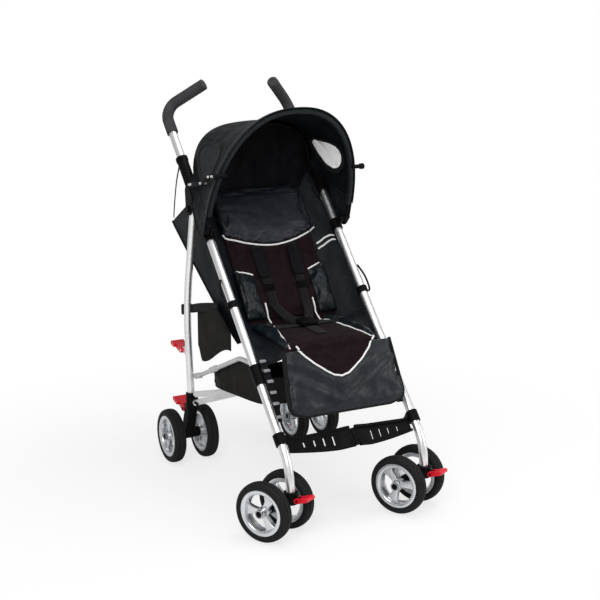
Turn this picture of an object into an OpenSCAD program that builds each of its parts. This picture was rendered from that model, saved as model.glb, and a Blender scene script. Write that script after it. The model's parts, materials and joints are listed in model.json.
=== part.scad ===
// Umbrella stroller with twin swivel casters, folding hood and padded seat.
// Units are millimetres. +Z is up, the child faces -Y, +X is the child's left.

/* [Wheels] */
// Outside diameter of every wheel
wheel_d = 150; // [142:1:160]
// Width of each tyre
tyre_w = 34; // [28:1:38]
// Radial height of the tyre over the rim
tyre_h = 17; // [13:1:20]
// Spokes in each rim
spokes = 3; // [3:1:6]
// Width of each spoke
spoke_w = 17; // [12:1:22]
// Width of the rim's face
rim_face = 12; // [9:1:15]
// Distance between the two wheels of a pair
pair_gap = 98; // [94:1:106]
// How far the caster axle trails its swivel axis
trail = 44; // [36:1:50]
// Turn of both casters as they stand
caster_turn = 29; // [0:1:40]

/* [Frame] */
// Distance between the two long tubes
frame_w = 378; // [362:2:400]
// Outside diameter of the long tubes
tube_d = 22; // [20:0.5:24]
// Outside diameter of the rear legs
rear_d = 20; // [18:0.5:21]
// Wall of the tubes
tube_wall = 1.6; // [1:0.1:2.5]
// Width of the flat cross braces
brace_w = 16; // [12:1:20]
// Diameter of the side links
link_d = 12; // [9:0.5:13]

/* [Handles] */
// Outside diameter of the foam grips
grip_d = 31; // [28:0.5:34]
// Length of the grip after its bend
grip_len = 135; // [110:1:140]
// Radius of the bend in the grip
grip_bend = 40; // [34:1:48]

/* [Hood] */
// Height of the front bow over its pivots
hood_h = 326; // [290:2:350]
// Forward lean of the front bow
hood_lean = 20; // [12:1:26]
// Diameter of the hood bows
bow_d = 10; // [7:0.5:11]
// Thickness of the hood cloth
hood_t = 2.2; // [1.6:0.1:3]

/* [Seat] */
// Thickness of the seat cushion
seat_t = 28; // [20:1:34]
// Thickness of the backrest cushion
back_t = 30; // [22:1:36]
// Length of the leg rest
rest_len = 163; // [140:1:180]
// Thickness of the leg rest
rest_t = 16; // [10:1:22]
// Width of the harness webbing
web_w = 26; // [20:1:34]
// Depth of the pocket behind the backrest
pocket_d = 120; // [70:2:130]

/* [Basket and footrest] */
// Thickness of the basket cloth
basket_t = 2.4; // [1.6:0.1:3.2]
// Depth of the footrest tread, front to back
tread_d = 44; // [36:1:54]

/* [Hidden] */
$fn = 48;
half = frame_w / 2;
wheel_r = wheel_d / 2;
lift = wheel_r - 75;
rear_x = half + 2.5;
tube_r = tube_d / 2;
rear_r = rear_d / 2;
slope = 46.7;
lean = 90 - slope;
leg_y = -337;
foot_z = 120;
bend_r = 140;
base_y = leg_y + bend_r * (1 - sin(slope));
base_z = foot_z + bend_r * cos(slope);
joint_d = 737;
push_len = 294;
corner_d = joint_d + push_len;
hinge_d = joint_d - 17;
hinge_off = 27;
clip_drop = 125;
clip_d = joint_d - clip_drop;
collar_d = 199;
foot_d = 24;
axle_z = 75;
axle_back = 30.82;
bracket_h = 90.31;
leg_tilt = 12;
leg_turn = 16.5;
leg_bow = 660;
leg_low = 176;
axle_r = 5;
rim_r = wheel_r - tyre_h;
hub_l = tyre_w - 2;
spread = pair_gap / 2;
swing0 = 4;
arm = half / cos(swing0);
cap_l = 5.5;
box_right = half + trail * sin(caster_turn) + (spread + tyre_w / 2) * cos(caster_turn)
  + (wheel_r - 7) * sin(caster_turn);
box_left = rear_x + spread + hub_l / 2 + cap_l;
origin_x = (box_right - box_left) / 2;
origin_y = -6.2;
link_x = half - 23;
link_r = link_d / 2;
sleeve = 2.5;
link_yz = [-140, 372];
link_mid = [-10, 364];
link_drop = [-1.88, 82.69];
brace_drop = [-24.88, 12.69];
hood_x = half + 16;
hood_off = 30;
rear_bow_h = 144;
bow_gap = 2.8;
pad_w = 130;
seat_z = 436;
seat_fall = 6;
seat_len = 212;
back_low = 58;
back_high = 446;
rest_gap = 15.3;
rest_y = -seat_len - rest_gap;
rest_z = 434;
rest_w = 150;
rest_flare = 13;
wing_low = 236;
wing_high = 588;
basket_fore = -135;
basket_gap = 31;
basket_fore_z = 266;
basket_rear_z = 226;
back_o = [-19, 400];
back_a = 54.2;

// Position in the side view: d along the long tube from its lower bend, o behind it
function main_pt(d, o = 0) = [
  base_y + d * cos(slope) + o * sin(slope),
  base_z + d * sin(slope) - o * cos(slope)
];
function turn2(a, p) = [p[0] * cos(a) - p[1] * sin(a), p[0] * sin(a) + p[1] * cos(a)];
function along(a, l) = [l * sin(a), -l * cos(a)];
hinge = main_pt(hinge_d, hinge_off);
bow_in = leg_bow * (cos(leg_turn) - 1);
leg_drop = hinge[1] - axle_z - bracket_h + bow_in * sin(leg_tilt) - leg_low * cos(leg_tilt - leg_turn);
leg_top = leg_drop / cos(leg_tilt) - leg_bow * sin(leg_turn);
leg_mid = hinge + turn2(leg_tilt, [bow_in, -leg_top - leg_bow * sin(leg_turn)]);
leg_end = leg_mid + along(leg_tilt - leg_turn, leg_low);
axle_y = leg_end[0] + axle_back;
link_end = leg_end + link_drop;
brace_y = leg_end[0] + brace_drop[0];
brace_z = leg_end[1] + brace_drop[1];
hood_p = main_pt(clip_d, -hood_off);
rear_bow_y = hinge[0] + 25;
rear_bow_z = hinge[1] + 68;
// Position on the backrest: s up the slope, t in front of it
function back_pt(s, t = 0) = back_o + [s * cos(back_a) - t * sin(back_a), s * sin(back_a) + t * cos(back_a)];
rest_a = 66;
// Position on the leg rest: s down the slope, t in front of it
function rest_pt(s, t = 0) = [
  rest_y - s * cos(rest_a) - t * sin(rest_a),
  rest_z - s * sin(rest_a) + t * cos(rest_a)
];
// Half ring with squared shoulders: a wide, h high
function ring(a, h, n, q) = [
  a * sign(cos(q)) * pow(abs(cos(q)), 2 / n),
  h * pow(abs(sin(q)), 2 / n)
];
function unit(v) = v / norm(v);
function bump(u, p) = 1 - pow(abs(u), p);
function mix(a, b, k) = a * (1 - k) + b * k;

module place() {
  translate([origin_x, origin_y, lift]) children();
}
module pair(s) {
  place() mirror([s > 0 ? 1 : 0, 0, 0]) children();
}
module yz(h) {
  rotate([90, 0, 90]) linear_extrude(height = h, center = true) children();
}
module at2(p) {
  translate([p[0], p[1]]) children();
}
module xrod(x, p, r, l) {
  translate([x, p[0], p[1]]) rotate([0, 90, 0]) cylinder(r = r, h = l, center = true);
}
module on_main(x, d) {
  translate([x, main_pt(d)[0], main_pt(d)[1]]) rotate([-lean, 0, 0]) children();
}
module arc_x(r, a0, a1, w) {
  rotate([0, 90, 0]) rotate([0, 0, a0]) rotate_extrude(angle = a1 - a0, $fn = 96)
    translate([r, 0]) circle(r = w, $fn = 32);
}
module arc_bend(r, w) {
  translate([r, 0, -r]) rotate([90, 0, 0]) rotate([0, 0, 90]) rotate_extrude(angle = 90, $fn = 96)
    translate([r, 0]) circle(r = w, $fn = 32);
}
// Straight piece between two points in the side view
module rod2(x, p, q, r) {
  a = atan2(q[1] - p[1], q[0] - p[0]);
  translate([x, p[0], p[1]]) rotate([a - 90, 0, 0]) cylinder(r = r, h = norm(q - p));
}
function total(v) = v * [for (i = v) 1];
// Closed body from triangles, turned the right way out
module closed(pts, tris) {
  way = total([for (f = tris) pts[f[0]] * cross(pts[f[1]], pts[f[2]])]);
  polyhedron(points = pts, faces = [for (f = tris) way > 0 ? [f[2], f[1], f[0]] : f]);
}
// Closed sheet between two grids of points
module skin(a, b) {
  n = len(a);
  m = len(a[0]);
  o = n * m;
  closed(
    concat([for (r = a) each r], [for (r = b) each r]),
    concat(
      [for (i = [0:n - 2]) for (j = [0:m - 2]) for (f = [
        [i * m + j, (i + 1) * m + j, (i + 1) * m + j + 1],
        [i * m + j, (i + 1) * m + j + 1, i * m + j + 1],
        [o + i * m + j, o + (i + 1) * m + j + 1, o + (i + 1) * m + j],
        [o + i * m + j, o + i * m + j + 1, o + (i + 1) * m + j + 1]]) f],
      [for (i = [0:n - 2]) for (f = [
        [i * m, o + i * m, o + (i + 1) * m],
        [i * m, o + (i + 1) * m, (i + 1) * m],
        [i * m + m - 1, o + (i + 1) * m + m - 1, o + i * m + m - 1],
        [i * m + m - 1, (i + 1) * m + m - 1, o + (i + 1) * m + m - 1]]) f],
      [for (j = [0:m - 2]) for (f = [
        [j, j + 1, o + j + 1],
        [j, o + j + 1, o + j],
        [(n - 1) * m + j, o + (n - 1) * m + j + 1, (n - 1) * m + j + 1],
        [(n - 1) * m + j, o + (n - 1) * m + j, o + (n - 1) * m + j + 1]]) f]
    )
  );
}
// Round bar along a list of points that lies in the plane of normal w
module bar(path, w, r, k) {
  n = len(path);
  rings = [for (i = [0:n - 1])
    let (t = unit(path[min(i + 1, n - 1)] - path[max(i - 1, 0)]), u = unit(cross(t, w)))
      [for (j = [0:k - 1]) path[i] + r * cos(360 * j / k) * u + r * sin(360 * j / k) * w]];
  closed(
    [for (q = rings) each q],
    concat(
      [for (i = [0:n - 2]) for (j = [0:k - 1]) for (f = [
        [i * k + j, (i + 1) * k + j, (i + 1) * k + (j + 1) % k],
        [i * k + j, (i + 1) * k + (j + 1) % k, i * k + (j + 1) % k]]) f],
      [for (j = [1:k - 2]) [0, j, j + 1]],
      [for (j = [1:k - 2]) [(n - 1) * k, (n - 1) * k + j + 1, (n - 1) * k + j]]
    )
  );
}

module leg_path(r, top) {
  translate([-half, leg_y + bend_r, foot_z]) arc_x(bend_r, 270 - lean, 270, r);
  on_main(-half, 0) cylinder(r = r, h = top);
  on_main(-half, -1.2) cylinder(r = r + 0.25, h = 2.4);
}
module front_leg(s) {
  color("silver") pair(s) difference() {
    leg_path(tube_r, joint_d + 10);
    on_main(-half, 60) cylinder(r = tube_r - tube_wall, h = joint_d);
    translate([-half, leg_y, foot_z - 1]) cylinder(r = 6.06, h = 27);
  }
}
module push_tube(s) {
  color("silver") pair(s) difference() {
    on_main(-half, joint_d + 10.4) cylinder(r = tube_r, h = corner_d - grip_bend - joint_d - 14);
    on_main(-half, joint_d) cylinder(r = tube_r - tube_wall, h = corner_d - joint_d);
  }
}
module grip(s) {
  r = grip_d / 2;
  color("dimgray") pair(s) difference() {
    union() {
      on_main(-half, corner_d - 81) cylinder(r = r, h = 81 - grip_bend);
      on_main(-half, corner_d) rotate([0, 0, -50]) {
        translate([0, 0, -grip_bend - 1.2]) cylinder(r = r + 0.25, h = 2.4);
        arc_bend(grip_bend, r);
        translate([grip_bend - 1.2, 0, 0]) rotate([0, 90, 0]) cylinder(r = r + 0.25, h = 2.4);
        translate([grip_bend, 0, 0]) rotate([0, 90, 0]) cylinder(r = r, h = grip_len - grip_bend);
      }
    }
    on_main(-half, corner_d - 90) cylinder(r = tube_r + 0.1, h = 90 - grip_bend - 3);
  }
}
module joint_housing(s) {
  cheek = rear_r + 0.4;
  color("black") pair(s) {
    difference() {
      union() {
        on_main(-half, joint_d - 14) cylinder(r = tube_r + 4, h = 142);
        on_main(-half, joint_d + 118) cylinder(r = tube_r + 5.5, h = 10);
        for (k = [-1, 1]) translate([-rear_x + k * (cheek + 2.25), 0, 0]) yz(4.5) hull() {
          at2(hinge) circle(r = 17);
          at2(main_pt(joint_d + 22)) circle(r = tube_r + 3);
          at2(main_pt(joint_d - 6)) circle(r = tube_r + 3);
        }
      }
      on_main(-half, joint_d - 80) cylinder(r = tube_r + 0.1, h = 260);
    }
    xrod(-rear_x, hinge, 5, 2 * cheek + 14);
    xrod(-rear_x - cheek - 7, hinge, 9, 5);
  }
}
module hood_clip(s) {
  color("black") pair(s) {
    difference() {
      union() {
        on_main(-half, clip_d - 15) cylinder(r = tube_r + 3.6, h = 30);
        translate([-half - 2, 0, 0]) yz(9) hull() {
          at2(main_pt(clip_d)) circle(r = tube_r);
          at2(hood_p) circle(r = 9);
        }
      }
      on_main(-half, clip_d - 40) cylinder(r = tube_r + 0.1, h = 80);
    }
    xrod(-half - 14, hood_p, 4, 20);
  }
}
module leg_collar(s) {
  color("black") pair(s) {
    difference() {
      union() {
        on_main(-half, collar_d - 27) cylinder(r = tube_r + 3.6, h = 54);
        xrod((-half + tube_r / 2 - link_x - link_r - 0.5) / 2, link_yz, 9,
          half - link_x - link_r - 0.5 - tube_r / 2);
      }
      on_main(-half, collar_d - 60) cylinder(r = tube_r + 0.1, h = 120);
    }
    xrod(-link_x - 1, link_yz, 4, link_d + 8);
    xrod(-link_x + link_r + 2, link_yz, 7, 3);
  }
}
module rear_path(r, up, down) {
  translate([-rear_x, hinge[0], hinge[1]]) rotate([leg_tilt, 0, 0]) {
    translate([0, 0, -leg_top]) cylinder(r = r, h = leg_top + up);
    translate([0, 0, -leg_top - 1.2]) cylinder(r = r + 0.25, h = 2.4);
    translate([0, -leg_bow, -leg_top]) arc_x(leg_bow, 90 - leg_turn, 90, r);
  }
  translate([-rear_x, leg_mid[0], leg_mid[1]]) rotate([leg_tilt - leg_turn, 0, 0])
  {
    translate([0, 0, -leg_low - down]) cylinder(r = r, h = leg_low + down);
    translate([0, 0, -1.2]) cylinder(r = r + 0.25, h = 2.4);
  }
}
module rear_leg(s) {
  lever = leg_mid + along(leg_tilt - leg_turn, 28);
  color("silver") pair(s) {
    difference() {
      union() {
        rear_path(rear_r, 0, 0);
        xrod(-rear_x, hinge, rear_r + 0.6, rear_d + 0.4);
        if (s < 0) translate([-rear_x, 0, 0]) yz(12) hull() {
          at2(lever) circle(r = 9);
          at2(lever + [32, 1]) circle(r = 9);
        }
      }
      translate([-rear_x, leg_mid[0], leg_mid[1]]) rotate([leg_tilt - leg_turn, 0, 0])
        translate([0, 0, -leg_low - 1]) cylinder(r = rear_r - tube_wall, h = leg_low - 45);
      xrod(-rear_x, hinge, 5.06, rear_d * 3);
    }
    if (s < 0) xrod(-rear_x, lever + [32, 1], 3.5, 26);
  }
}
module fold_lever() {
  lever = leg_mid + along(leg_tilt - leg_turn, 28) + [32, 1];
  color("red") pair(-1) difference() {
    union() {
      translate([-rear_x, 0, 0]) yz(24) hull() {
        at2(lever + [2, 0]) circle(r = 8);
        at2(lever + [44, 8]) circle(r = 5);
      }
      translate([-rear_x, 0, 0]) yz(36) hull() {
        at2(lever + [34, 6]) circle(r = 5);
        at2(lever + [50, 10]) circle(r = 6);
      }
    }
    translate([-rear_x, 0, 0]) yz(12.8) at2(lever - [1, 0]) square([24, 40], center = true);
    xrod(-rear_x, lever, 3.56, 60);
  }
}
module rear_bracket(s) {
  ear = brace_y + 8;
  color("black") pair(s) {
    difference() {
      union() {
        translate([-rear_x, leg_end[0], leg_end[1]]) rotate([leg_tilt - leg_turn, 0, 0])
          translate([0, 0, -8]) cylinder(r = rear_r + 4.5, h = 44);
        translate([-rear_x, 0, 0]) yz(26) hull() {
          at2(leg_end + [1, -2]) circle(r = rear_r + 3);
          at2([axle_y, axle_z]) circle(r = 15);
        }
        xrod(-rear_x, [axle_y, axle_z], 14, 2 * (spread - hub_l / 2) - 1);
        translate([-rear_x + 2, (ear + leg_end[0]) / 2, brace_z + 2])
          cube([22, leg_end[0] - ear, 22], center = true);
        translate([-rear_x, 0, 0]) yz(13) hull() {
          at2([leg_end[0] + 10, leg_end[1] - 18]) circle(r = 9);
          at2([axle_y + 6, axle_z + 72]) circle(r = 8);
        }
      }
      translate([-rear_x, leg_end[0], leg_end[1]]) rotate([leg_tilt - leg_turn, 0, 0])
        translate([0, 0, -0.2]) cylinder(r = rear_r + 0.1, h = 80);
      xrod(-rear_x, [axle_y, axle_z], axle_r + 0.06, 120);
    }
    translate([-half, ear + 2, brace_z]) rotate([90, 0, 0]) cylinder(r = 4, h = 21);
    xrod(-rear_x, [axle_y + 6, axle_z + 72], 3.5, 27);
  }
}
module rear_axle(s) {
  color("gray") pair(s) {
    xrod(-rear_x, [axle_y, axle_z], axle_r, 2 * spread + hub_l + 2);
    for (k = [-1, 1]) xrod(-rear_x + k * (spread + hub_l / 2 + 3), [axle_y, axle_z], 11, 5);
  }
}
module brake_pedal(s) {
  p = [axle_y + 6, axle_z + 72];
  color("red") pair(s) difference() {
    union() {
      translate([-rear_x, 0, 0]) yz(25) hull() {
        at2(p) circle(r = 8);
        at2(p + [30, 12]) circle(r = 5);
      }
      translate([-rear_x, 0, 0]) yz(40) hull() {
        at2(p + [24, 10]) circle(r = 5);
        at2(p + [46, 17]) circle(r = 6);
      }
    }
    translate([-rear_x, 0, 0]) yz(13.8) at2(p - [2, 6]) square([24, 40], center = true);
    xrod(-rear_x, p, 3.56, 60);
  }
}
module tyre() {
  w = tyre_w / 2;
  color([0.08, 0.08, 0.08]) rotate([0, 90, 0]) rotate_extrude($fn = 72) polygon([
    [rim_r, -w + 4], [rim_r + 3, -w], [wheel_r - 7, -w], [wheel_r - 1.5, -w + 6],
    [wheel_r, -w + 10], [wheel_r, w - 10], [wheel_r - 1.5, w - 6], [wheel_r - 7, w],
    [rim_r + 3, w], [rim_r, w - 4]
  ]);
}
module rim() {
  w = tyre_w / 2;
  color("lightgray") rotate([0, 90, 0]) difference() {
    union() {
      rotate_extrude($fn = 72) polygon([
        [rim_r - rim_face, -w + 6], [rim_r - 0.1, -w + 4.2], [rim_r - 0.1, w - 4.2], [rim_r - rim_face, w - 6]
      ]);
      cylinder(r = 13, h = hub_l, center = true);
      for (i = [0:spokes - 1]) rotate([0, 0, 360 * i / spokes + 90])
        translate([rim_r / 2, 0, 0]) cube([rim_r - 14, spoke_w, 13], center = true);
    }
    cylinder(r = axle_r + 0.06, h = 2 * tyre_w, center = true);
  }
}
module rear_wheel(s, k) {
  place() translate([s * rear_x + k * spread, axle_y, axle_z]) children();
}
module caster(s) {
  place() translate([s * half, leg_y, 0]) rotate([0, 0, caster_turn]) children();
}
module front_wheel(s, k) {
  caster(s) translate([k * spread, trail, axle_z]) children();
}
module caster_fork(s) {
  color("black") caster(s) {
    difference() {
      union() {
        translate([0, 0, 90]) cylinder(r = 17, h = foot_z - 90.4);
        yz(30) hull() {
          translate([0, 98]) circle(r = 11);
          translate([trail, axle_z]) circle(r = 14);
        }
        translate([0, trail, axle_z]) rotate([0, 90, 0])
          cylinder(r = 13, h = 2 * (spread - hub_l / 2) - 1, center = true);
        yz(11) hull() {
          translate([-8, 98]) circle(r = 7);
          translate([-24, 103]) circle(r = 7);
        }
      }
      translate([0, trail, axle_z]) rotate([0, 90, 0]) cylinder(r = axle_r + 0.06, h = 120, center = true);
    }
    translate([0, 0, foot_z - 4]) cylinder(r = 6, h = 29);
    translate([0, -24, 103]) rotate([0, 90, 0]) cylinder(r = 3, h = 24, center = true);
  }
}
module caster_axle(s) {
  color("gray") caster(s) translate([0, trail, axle_z]) rotate([0, 90, 0]) {
    cylinder(r = axle_r, h = 2 * spread + hub_l + 2, center = true);
    for (k = [-1, 1]) translate([0, 0, k * (spread + hub_l / 2 + 3)]) cylinder(r = 11, h = 5, center = true);
  }
}
module swivel_lock(s) {
  color("red") caster(s) difference() {
    union() {
      yz(23) hull() {
        translate([-24, 103]) circle(r = 7);
        translate([-44, 110]) circle(r = 5);
      }
      yz(34) hull() {
        translate([-40, 109]) circle(r = 5);
        translate([-54, 113]) circle(r = 5);
      }
    }
    yz(11.8) translate([-22, 100]) square([24, 34], center = true);
    translate([0, -24, 103]) rotate([0, 90, 0]) cylinder(r = 3.06, h = 60, center = true);
  }
}
module side_link(s) {
  color("lightgray") pair(s) difference() {
    union() {
      rod2(-link_x, link_yz, link_mid, link_r);
      rod2(-link_x, link_mid, link_end, link_r);
      translate([-link_x, link_mid[0], link_mid[1]]) sphere(r = link_r + 0.2);
      xrod(-link_x, link_yz, 9.5, link_d);
      xrod(-(link_x - link_r + rear_x - rear_r - 0.3) / 2, link_end, 8,
        rear_x - rear_r - 0.3 - link_x + link_r);
      rod2(-link_x - sleeve, mix(link_mid, link_end, 0.55), mix(link_mid, link_end, 0.68), link_r + sleeve);
    }
    xrod(-link_x, link_yz, 4.06, 60);
  }
}
module brace_bar(z0, z1) {
  difference() {
    hull() for (p = [[-half, z0], [half, z1]])
      translate([p[0], 0, p[1]]) rotate([90, 0, 0]) cylinder(r = brace_w / 2, h = 6, center = true);
    translate([-half, 0, z0]) rotate([90, 0, 0]) cylinder(r = 4.06, h = 20, center = true);
  }
}
module brace_a() {
  rise = 2 * arm * sin(swing0);
  color("silver") place() translate([0, brace_y + 4, 0]) {
    brace_bar(brace_z, brace_z + rise);
    translate([0, -5, brace_z + rise / 2]) rotate([90, 0, 0]) cylinder(r = 5, h = 17, center = true);
  }
}
module brace_b() {
  rise = 2 * arm * sin(swing0);
  color("silver") place() translate([0, brace_y - 4, 0]) mirror([1, 0, 0]) difference() {
    brace_bar(brace_z, brace_z + rise);
    translate([0, 0, brace_z + rise / 2]) rotate([90, 0, 0]) cylinder(r = 5.06, h = 20, center = true);
  }
}
// Each footrest half turns about the long tube that carries it
module footrest_half(z) {
  difference() {
    union() {
      translate([0, 0, -16]) cylinder(r = tube_r + 4, h = 30);
      footrest_plate(z);
      translate([arm, 0, z]) cylinder(r = 7, h = 20);
    }
    translate([0, 0, -80]) cylinder(r = tube_r + 0.1, h = 160);
    translate([arm, 0, -80]) cylinder(r = 4.06, h = 160);
  }
}
module footrest_right() {
  color([0.12, 0.12, 0.12]) place() on_main(-half, foot_d) rotate([0, 0, -swing0]) {
    footrest_half(-50);
    translate([arm, 0, -50]) cylinder(r = 4, h = 41);
    translate([arm, 0, -53]) cylinder(r = 6, h = 4);
  }
}
module footrest_left() {
  color([0.12, 0.12, 0.12]) place() mirror([1, 0, 0]) on_main(-half, foot_d) rotate([0, 0, -swing0])
    footrest_half(-29.6);
}
module footrest_plate(z) {
  low = tread_d * 0.6;
  sweep = tread_d * 0.52;
  rotate([-84, 0, 0]) difference() {
    union() {
      translate([0, 0, -3]) linear_extrude(height = 6) polygon([
        [13, -8], [26, 6], [arm - 16, 6],
        for (i = [0:12]) let (x = (arm - 16) * (1 - i / 12) + 16 * i / 12)
          [x, 6 + low + sweep * sin(90 * x / arm)]
      ]);
      translate([20, 4, -5]) cube([arm - 36, 5, 10]);
    }
    for (i = [0:3]) translate([54 + i * 26, 20, -20]) cube([5, 12 + i * 4, 40]);
  }
  translate([arm - 20, -3, z + 2]) cube([16, 6, 15]);
}
module hood_bow() {
  up = [0, -sin(hood_lean), cos(hood_lean)];
  w = [0, cos(hood_lean), sin(hood_lean)];
  o = [0, hood_p[0], hood_p[1]];
  color([0.1, 0.1, 0.12]) place() difference() {
    union() {
      bar([for (i = [0:30]) let (p = ring(hood_x, hood_h - 6, 2.3, 180 * i / 30))
        o + [p[0], 0, 0] + (p[1] + 6) * up],
        w, bow_d / 2, 10);
      for (s = [-1, 1]) xrod(s * hood_x, hood_p, 9, 12);
    }
    for (s = [-1, 1]) xrod(s * hood_x, hood_p, 4.06, 40);
  }
}
module hood_rear_bow() {
  a = half - tube_r - 4.3 - bow_d / 2;
  color([0.1, 0.1, 0.12]) place() bar(
    [for (i = [0:28]) let (p = ring(a, rear_bow_h, 3, 180 * i / 28)) [p[0], rear_bow_y, rear_bow_z + p[1]]],
    [0, 1, 0], bow_d / 2, 10);
}
function canopy_pt(v, q, e) =
  let (r = ring(half - tube_r - 4 + e, rear_bow_h + bow_d / 2 + 0.3 + e, 3, q),
    f = ring(hood_x + bow_d / 2 + bow_gap + e, hood_h + bow_d / 2 + bow_gap + e, 2.3, q),
    back = [r[0], rear_bow_y + 7, rear_bow_z + r[1]],
    front = [f[0], hood_p[0] - f[1] * sin(hood_lean) - 4, hood_p[1] + f[1] * cos(hood_lean)],
    sag = pow(sin(180 * v), 2) * (7 * sin(q) + 2.5 * sin(7 * q + 40)))
  mix(back, front, v) - [0, 0, sag];
module hood_canopy() {
  n = 12;
  m = 32;
  q0 = 6;
  color([0.06, 0.07, 0.12]) place() {
    skin(
      [for (i = [0:n]) [for (j = [0:m]) canopy_pt(i / n, q0 + (180 - 2 * q0) * j / m, hood_t)]],
      [for (i = [0:n]) [for (j = [0:m]) canopy_pt(i / n, q0 + (180 - 2 * q0) * j / m, 0)]]
    );
    translate([0, rear_bow_y + 7 + hood_t, 0]) rotate([90, 0, 0]) linear_extrude(height = hood_t) polygon([
      for (j = [0:m]) let (p = ring(half - tube_r - 4 + hood_t, rear_bow_h + bow_d / 2 + 0.3 + hood_t, 3,
        q0 + (180 - 2 * q0) * j / m)) [p[0], rear_bow_z + p[1]],
      [-half + tube_r + 10, rear_bow_z + 20],
      [-half + tube_r + 10, rear_bow_z - 24],
      [half - tube_r - 10, rear_bow_z - 24],
      [half - tube_r - 10, rear_bow_z + 20]
    ]);
  }
}
// Seat cushion, with a raised middle and a stitched channel down each side
function seat_top(u, v) =
  let (c = 9 * bump(u, 4) * bump(2 * v - 1, 6) - 4 * exp(-pow((abs(u) - 0.62) / 0.07, 2)))
  [u * pad_w, -seat_len * v, seat_z - seat_fall * v + c];
function seat_low(u, v) = [u * (pad_w - 3), mix(-20, 4 - seat_len, v), seat_z - seat_fall * v - seat_t];
module seat_pad() {
  color([0.13, 0.08, 0.1]) place() skin(
    [for (i = [0:14]) [for (j = [0:20]) seat_top(2 * j / 20 - 1, i / 14)]],
    [for (i = [0:14]) [for (j = [0:20]) seat_low(2 * j / 20 - 1, i / 14)]]
  );
}
// Backrest cushion with the thicker head cushion at its top
function back_face(u, v) =
  let (s = mix(back_low, back_high, v), head = 12 / (1 + exp(-(s - 322) / 7)) * bump(u, 6),
    c = 8 * bump(u, 4) * bump(2 * v - 1, 8) - 4 * exp(-pow((abs(u) - 0.6) / 0.07, 2)) * (s < 315 ? 1 : 0),
    p = back_pt(s, c + head))
  [u * (pad_w + 5 * v), p[0], p[1]];
function back_rear(u, v) =
  let (p = back_pt(mix(back_low, back_high, v), -back_t * (0.75 + 0.25 * bump(u, 4))))
  [u * (pad_w + 5 * v - 3), p[0], p[1]];
module backrest_pad() {
  color([0.13, 0.08, 0.1]) place() skin(
    [for (i = [0:24]) [for (j = [0:20]) back_face(2 * j / 20 - 1, 1 - i / 24)]],
    [for (i = [0:24]) [for (j = [0:20]) back_rear(2 * j / 20 - 1, 1 - i / 24)]]
  );
}
function rest_face(u, v) =
  let (p = rest_pt(v * rest_len, 5 * bump(u, 6) * bump(2 * v - 1, 4)))
  [u * (rest_w + rest_flare * v), p[0], p[1]];
function rest_rear(u, v) =
  let (p = rest_pt(v * rest_len, -rest_t))
  [u * ((rest_w + rest_flare * v) - 2), p[0], p[1]];
module leg_rest() {
  color([0.05, 0.06, 0.1]) place() skin(
    [for (i = [0:12]) [for (j = [0:16]) rest_face(2 * j / 16 - 1, i / 12)]],
    [for (i = [0:12]) [for (j = [0:16]) rest_rear(2 * j / 16 - 1, i / 12)]]
  );
}
// Side panels from the edges of seat and backrest out to the long tubes
function wing_in(k) = k < 0.34 ? [pad_w + 0.6, mix(6 - seat_len, -2, k / 0.34), seat_z - mix(12, 4, k / 0.34)]
  : let (s = mix(back_low + 8, back_high - 6, (k - 0.34) / 0.66), p = back_pt(s, -3))
    [pad_w + 0.6 + 5 * (s - back_low) / (back_high - back_low), p[0], p[1]];
function wing_out(k) = let (p = main_pt(mix(wing_low, wing_high, k), 2)) [half - tube_r - 1.7, p[0], p[1]];
function wing_pt(k, j) = mix(wing_in(k), wing_out(k), j)
  + [0, 0, -10 * sin(180 * j) * (1 - 0.6 * k) + 2 * sin(180 * j) * sin(1300 * k)];
module side_wings() {
  color([0.05, 0.06, 0.1]) place() for (s = [0, 1]) mirror([s, 0, 0]) skin(
    [for (i = [0:24]) [for (j = [0:6]) wing_pt(i / 24, j / 6)]],
    [for (i = [0:24]) [for (j = [0:6]) wing_pt(i / 24, j / 6) + [1.4, 1.8, -1.8]]]
  );
}
// Cloth pocket behind the backrest, fuller towards its top
function pocket_in(u, v) =
  let (p = back_pt(mix(back_low + 8, back_high - 6, v), -back_t - 0.6))
  [u * (pad_w + 2 + 22 * v), p[0], p[1]];
function pocket_out(u, v) =
  let (d = back_t + 16 + pocket_d * pow(v, 0.75) * (1 - 0.16 * u * u) + 4 * sin(540 * u) * v,
    p = back_pt(mix(back_low + 12, back_high, v), -d)) [u * (pad_w - 2 + 26 * v), p[0], p[1]];
module back_cover() {
  color([0.04, 0.05, 0.08]) place() skin(
    [for (i = [0:16]) [for (j = [0:20]) pocket_in(2 * j / 20 - 1, 1 - i / 16)]],
    [for (i = [0:16]) [for (j = [0:20]) pocket_out(2 * j / 20 - 1, 1 - i / 16)]]
  );
}
// Open basket hung between the side links
function basket_top(y) = y > link_mid[0]
  ? mix(link_mid[1], link_end[1], (y - link_mid[0]) / (link_end[0] - link_mid[0])) - 2
  : mix(link_mid[1], 334, (link_mid[0] - y) / 126) - 2;
basket_rear = link_end[0] - basket_gap;
basket_half = (basket_rear - basket_fore) / 2;
function basket_low(y) = mix(basket_fore_z, basket_rear_z, (y - basket_fore + 1) / (2 * basket_half + 2));
function basket_pt(q, k, e) =
  let (g = k < 0.6 ? 1 - 0.05 * k / 0.6 : 0.95 * (1 - (k - 0.6) / 0.4) + 0.04,
    cx = sign(cos(q)) * pow(abs(cos(q)), 0.4), cy = sign(sin(q)) * pow(abs(sin(q)), 0.4),
    y = basket_fore + basket_half + (basket_half - e) * g * cy, w = k < 0.6 ? pow(1 - k / 0.6, 1.2) : 0)
  [(link_x - link_r - 0.3 - e) * g * cx + (k > 0 && k < 0.6 ? 2.5 * sin(9 * q) * cx : 0), y,
    mix(basket_low(y) + (k < 0.6 ? 0 : -3 * sin(90 * (k - 0.6) / 0.4)), basket_top(y), w) + (k < 0.2 ? 0 : e)];
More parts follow.
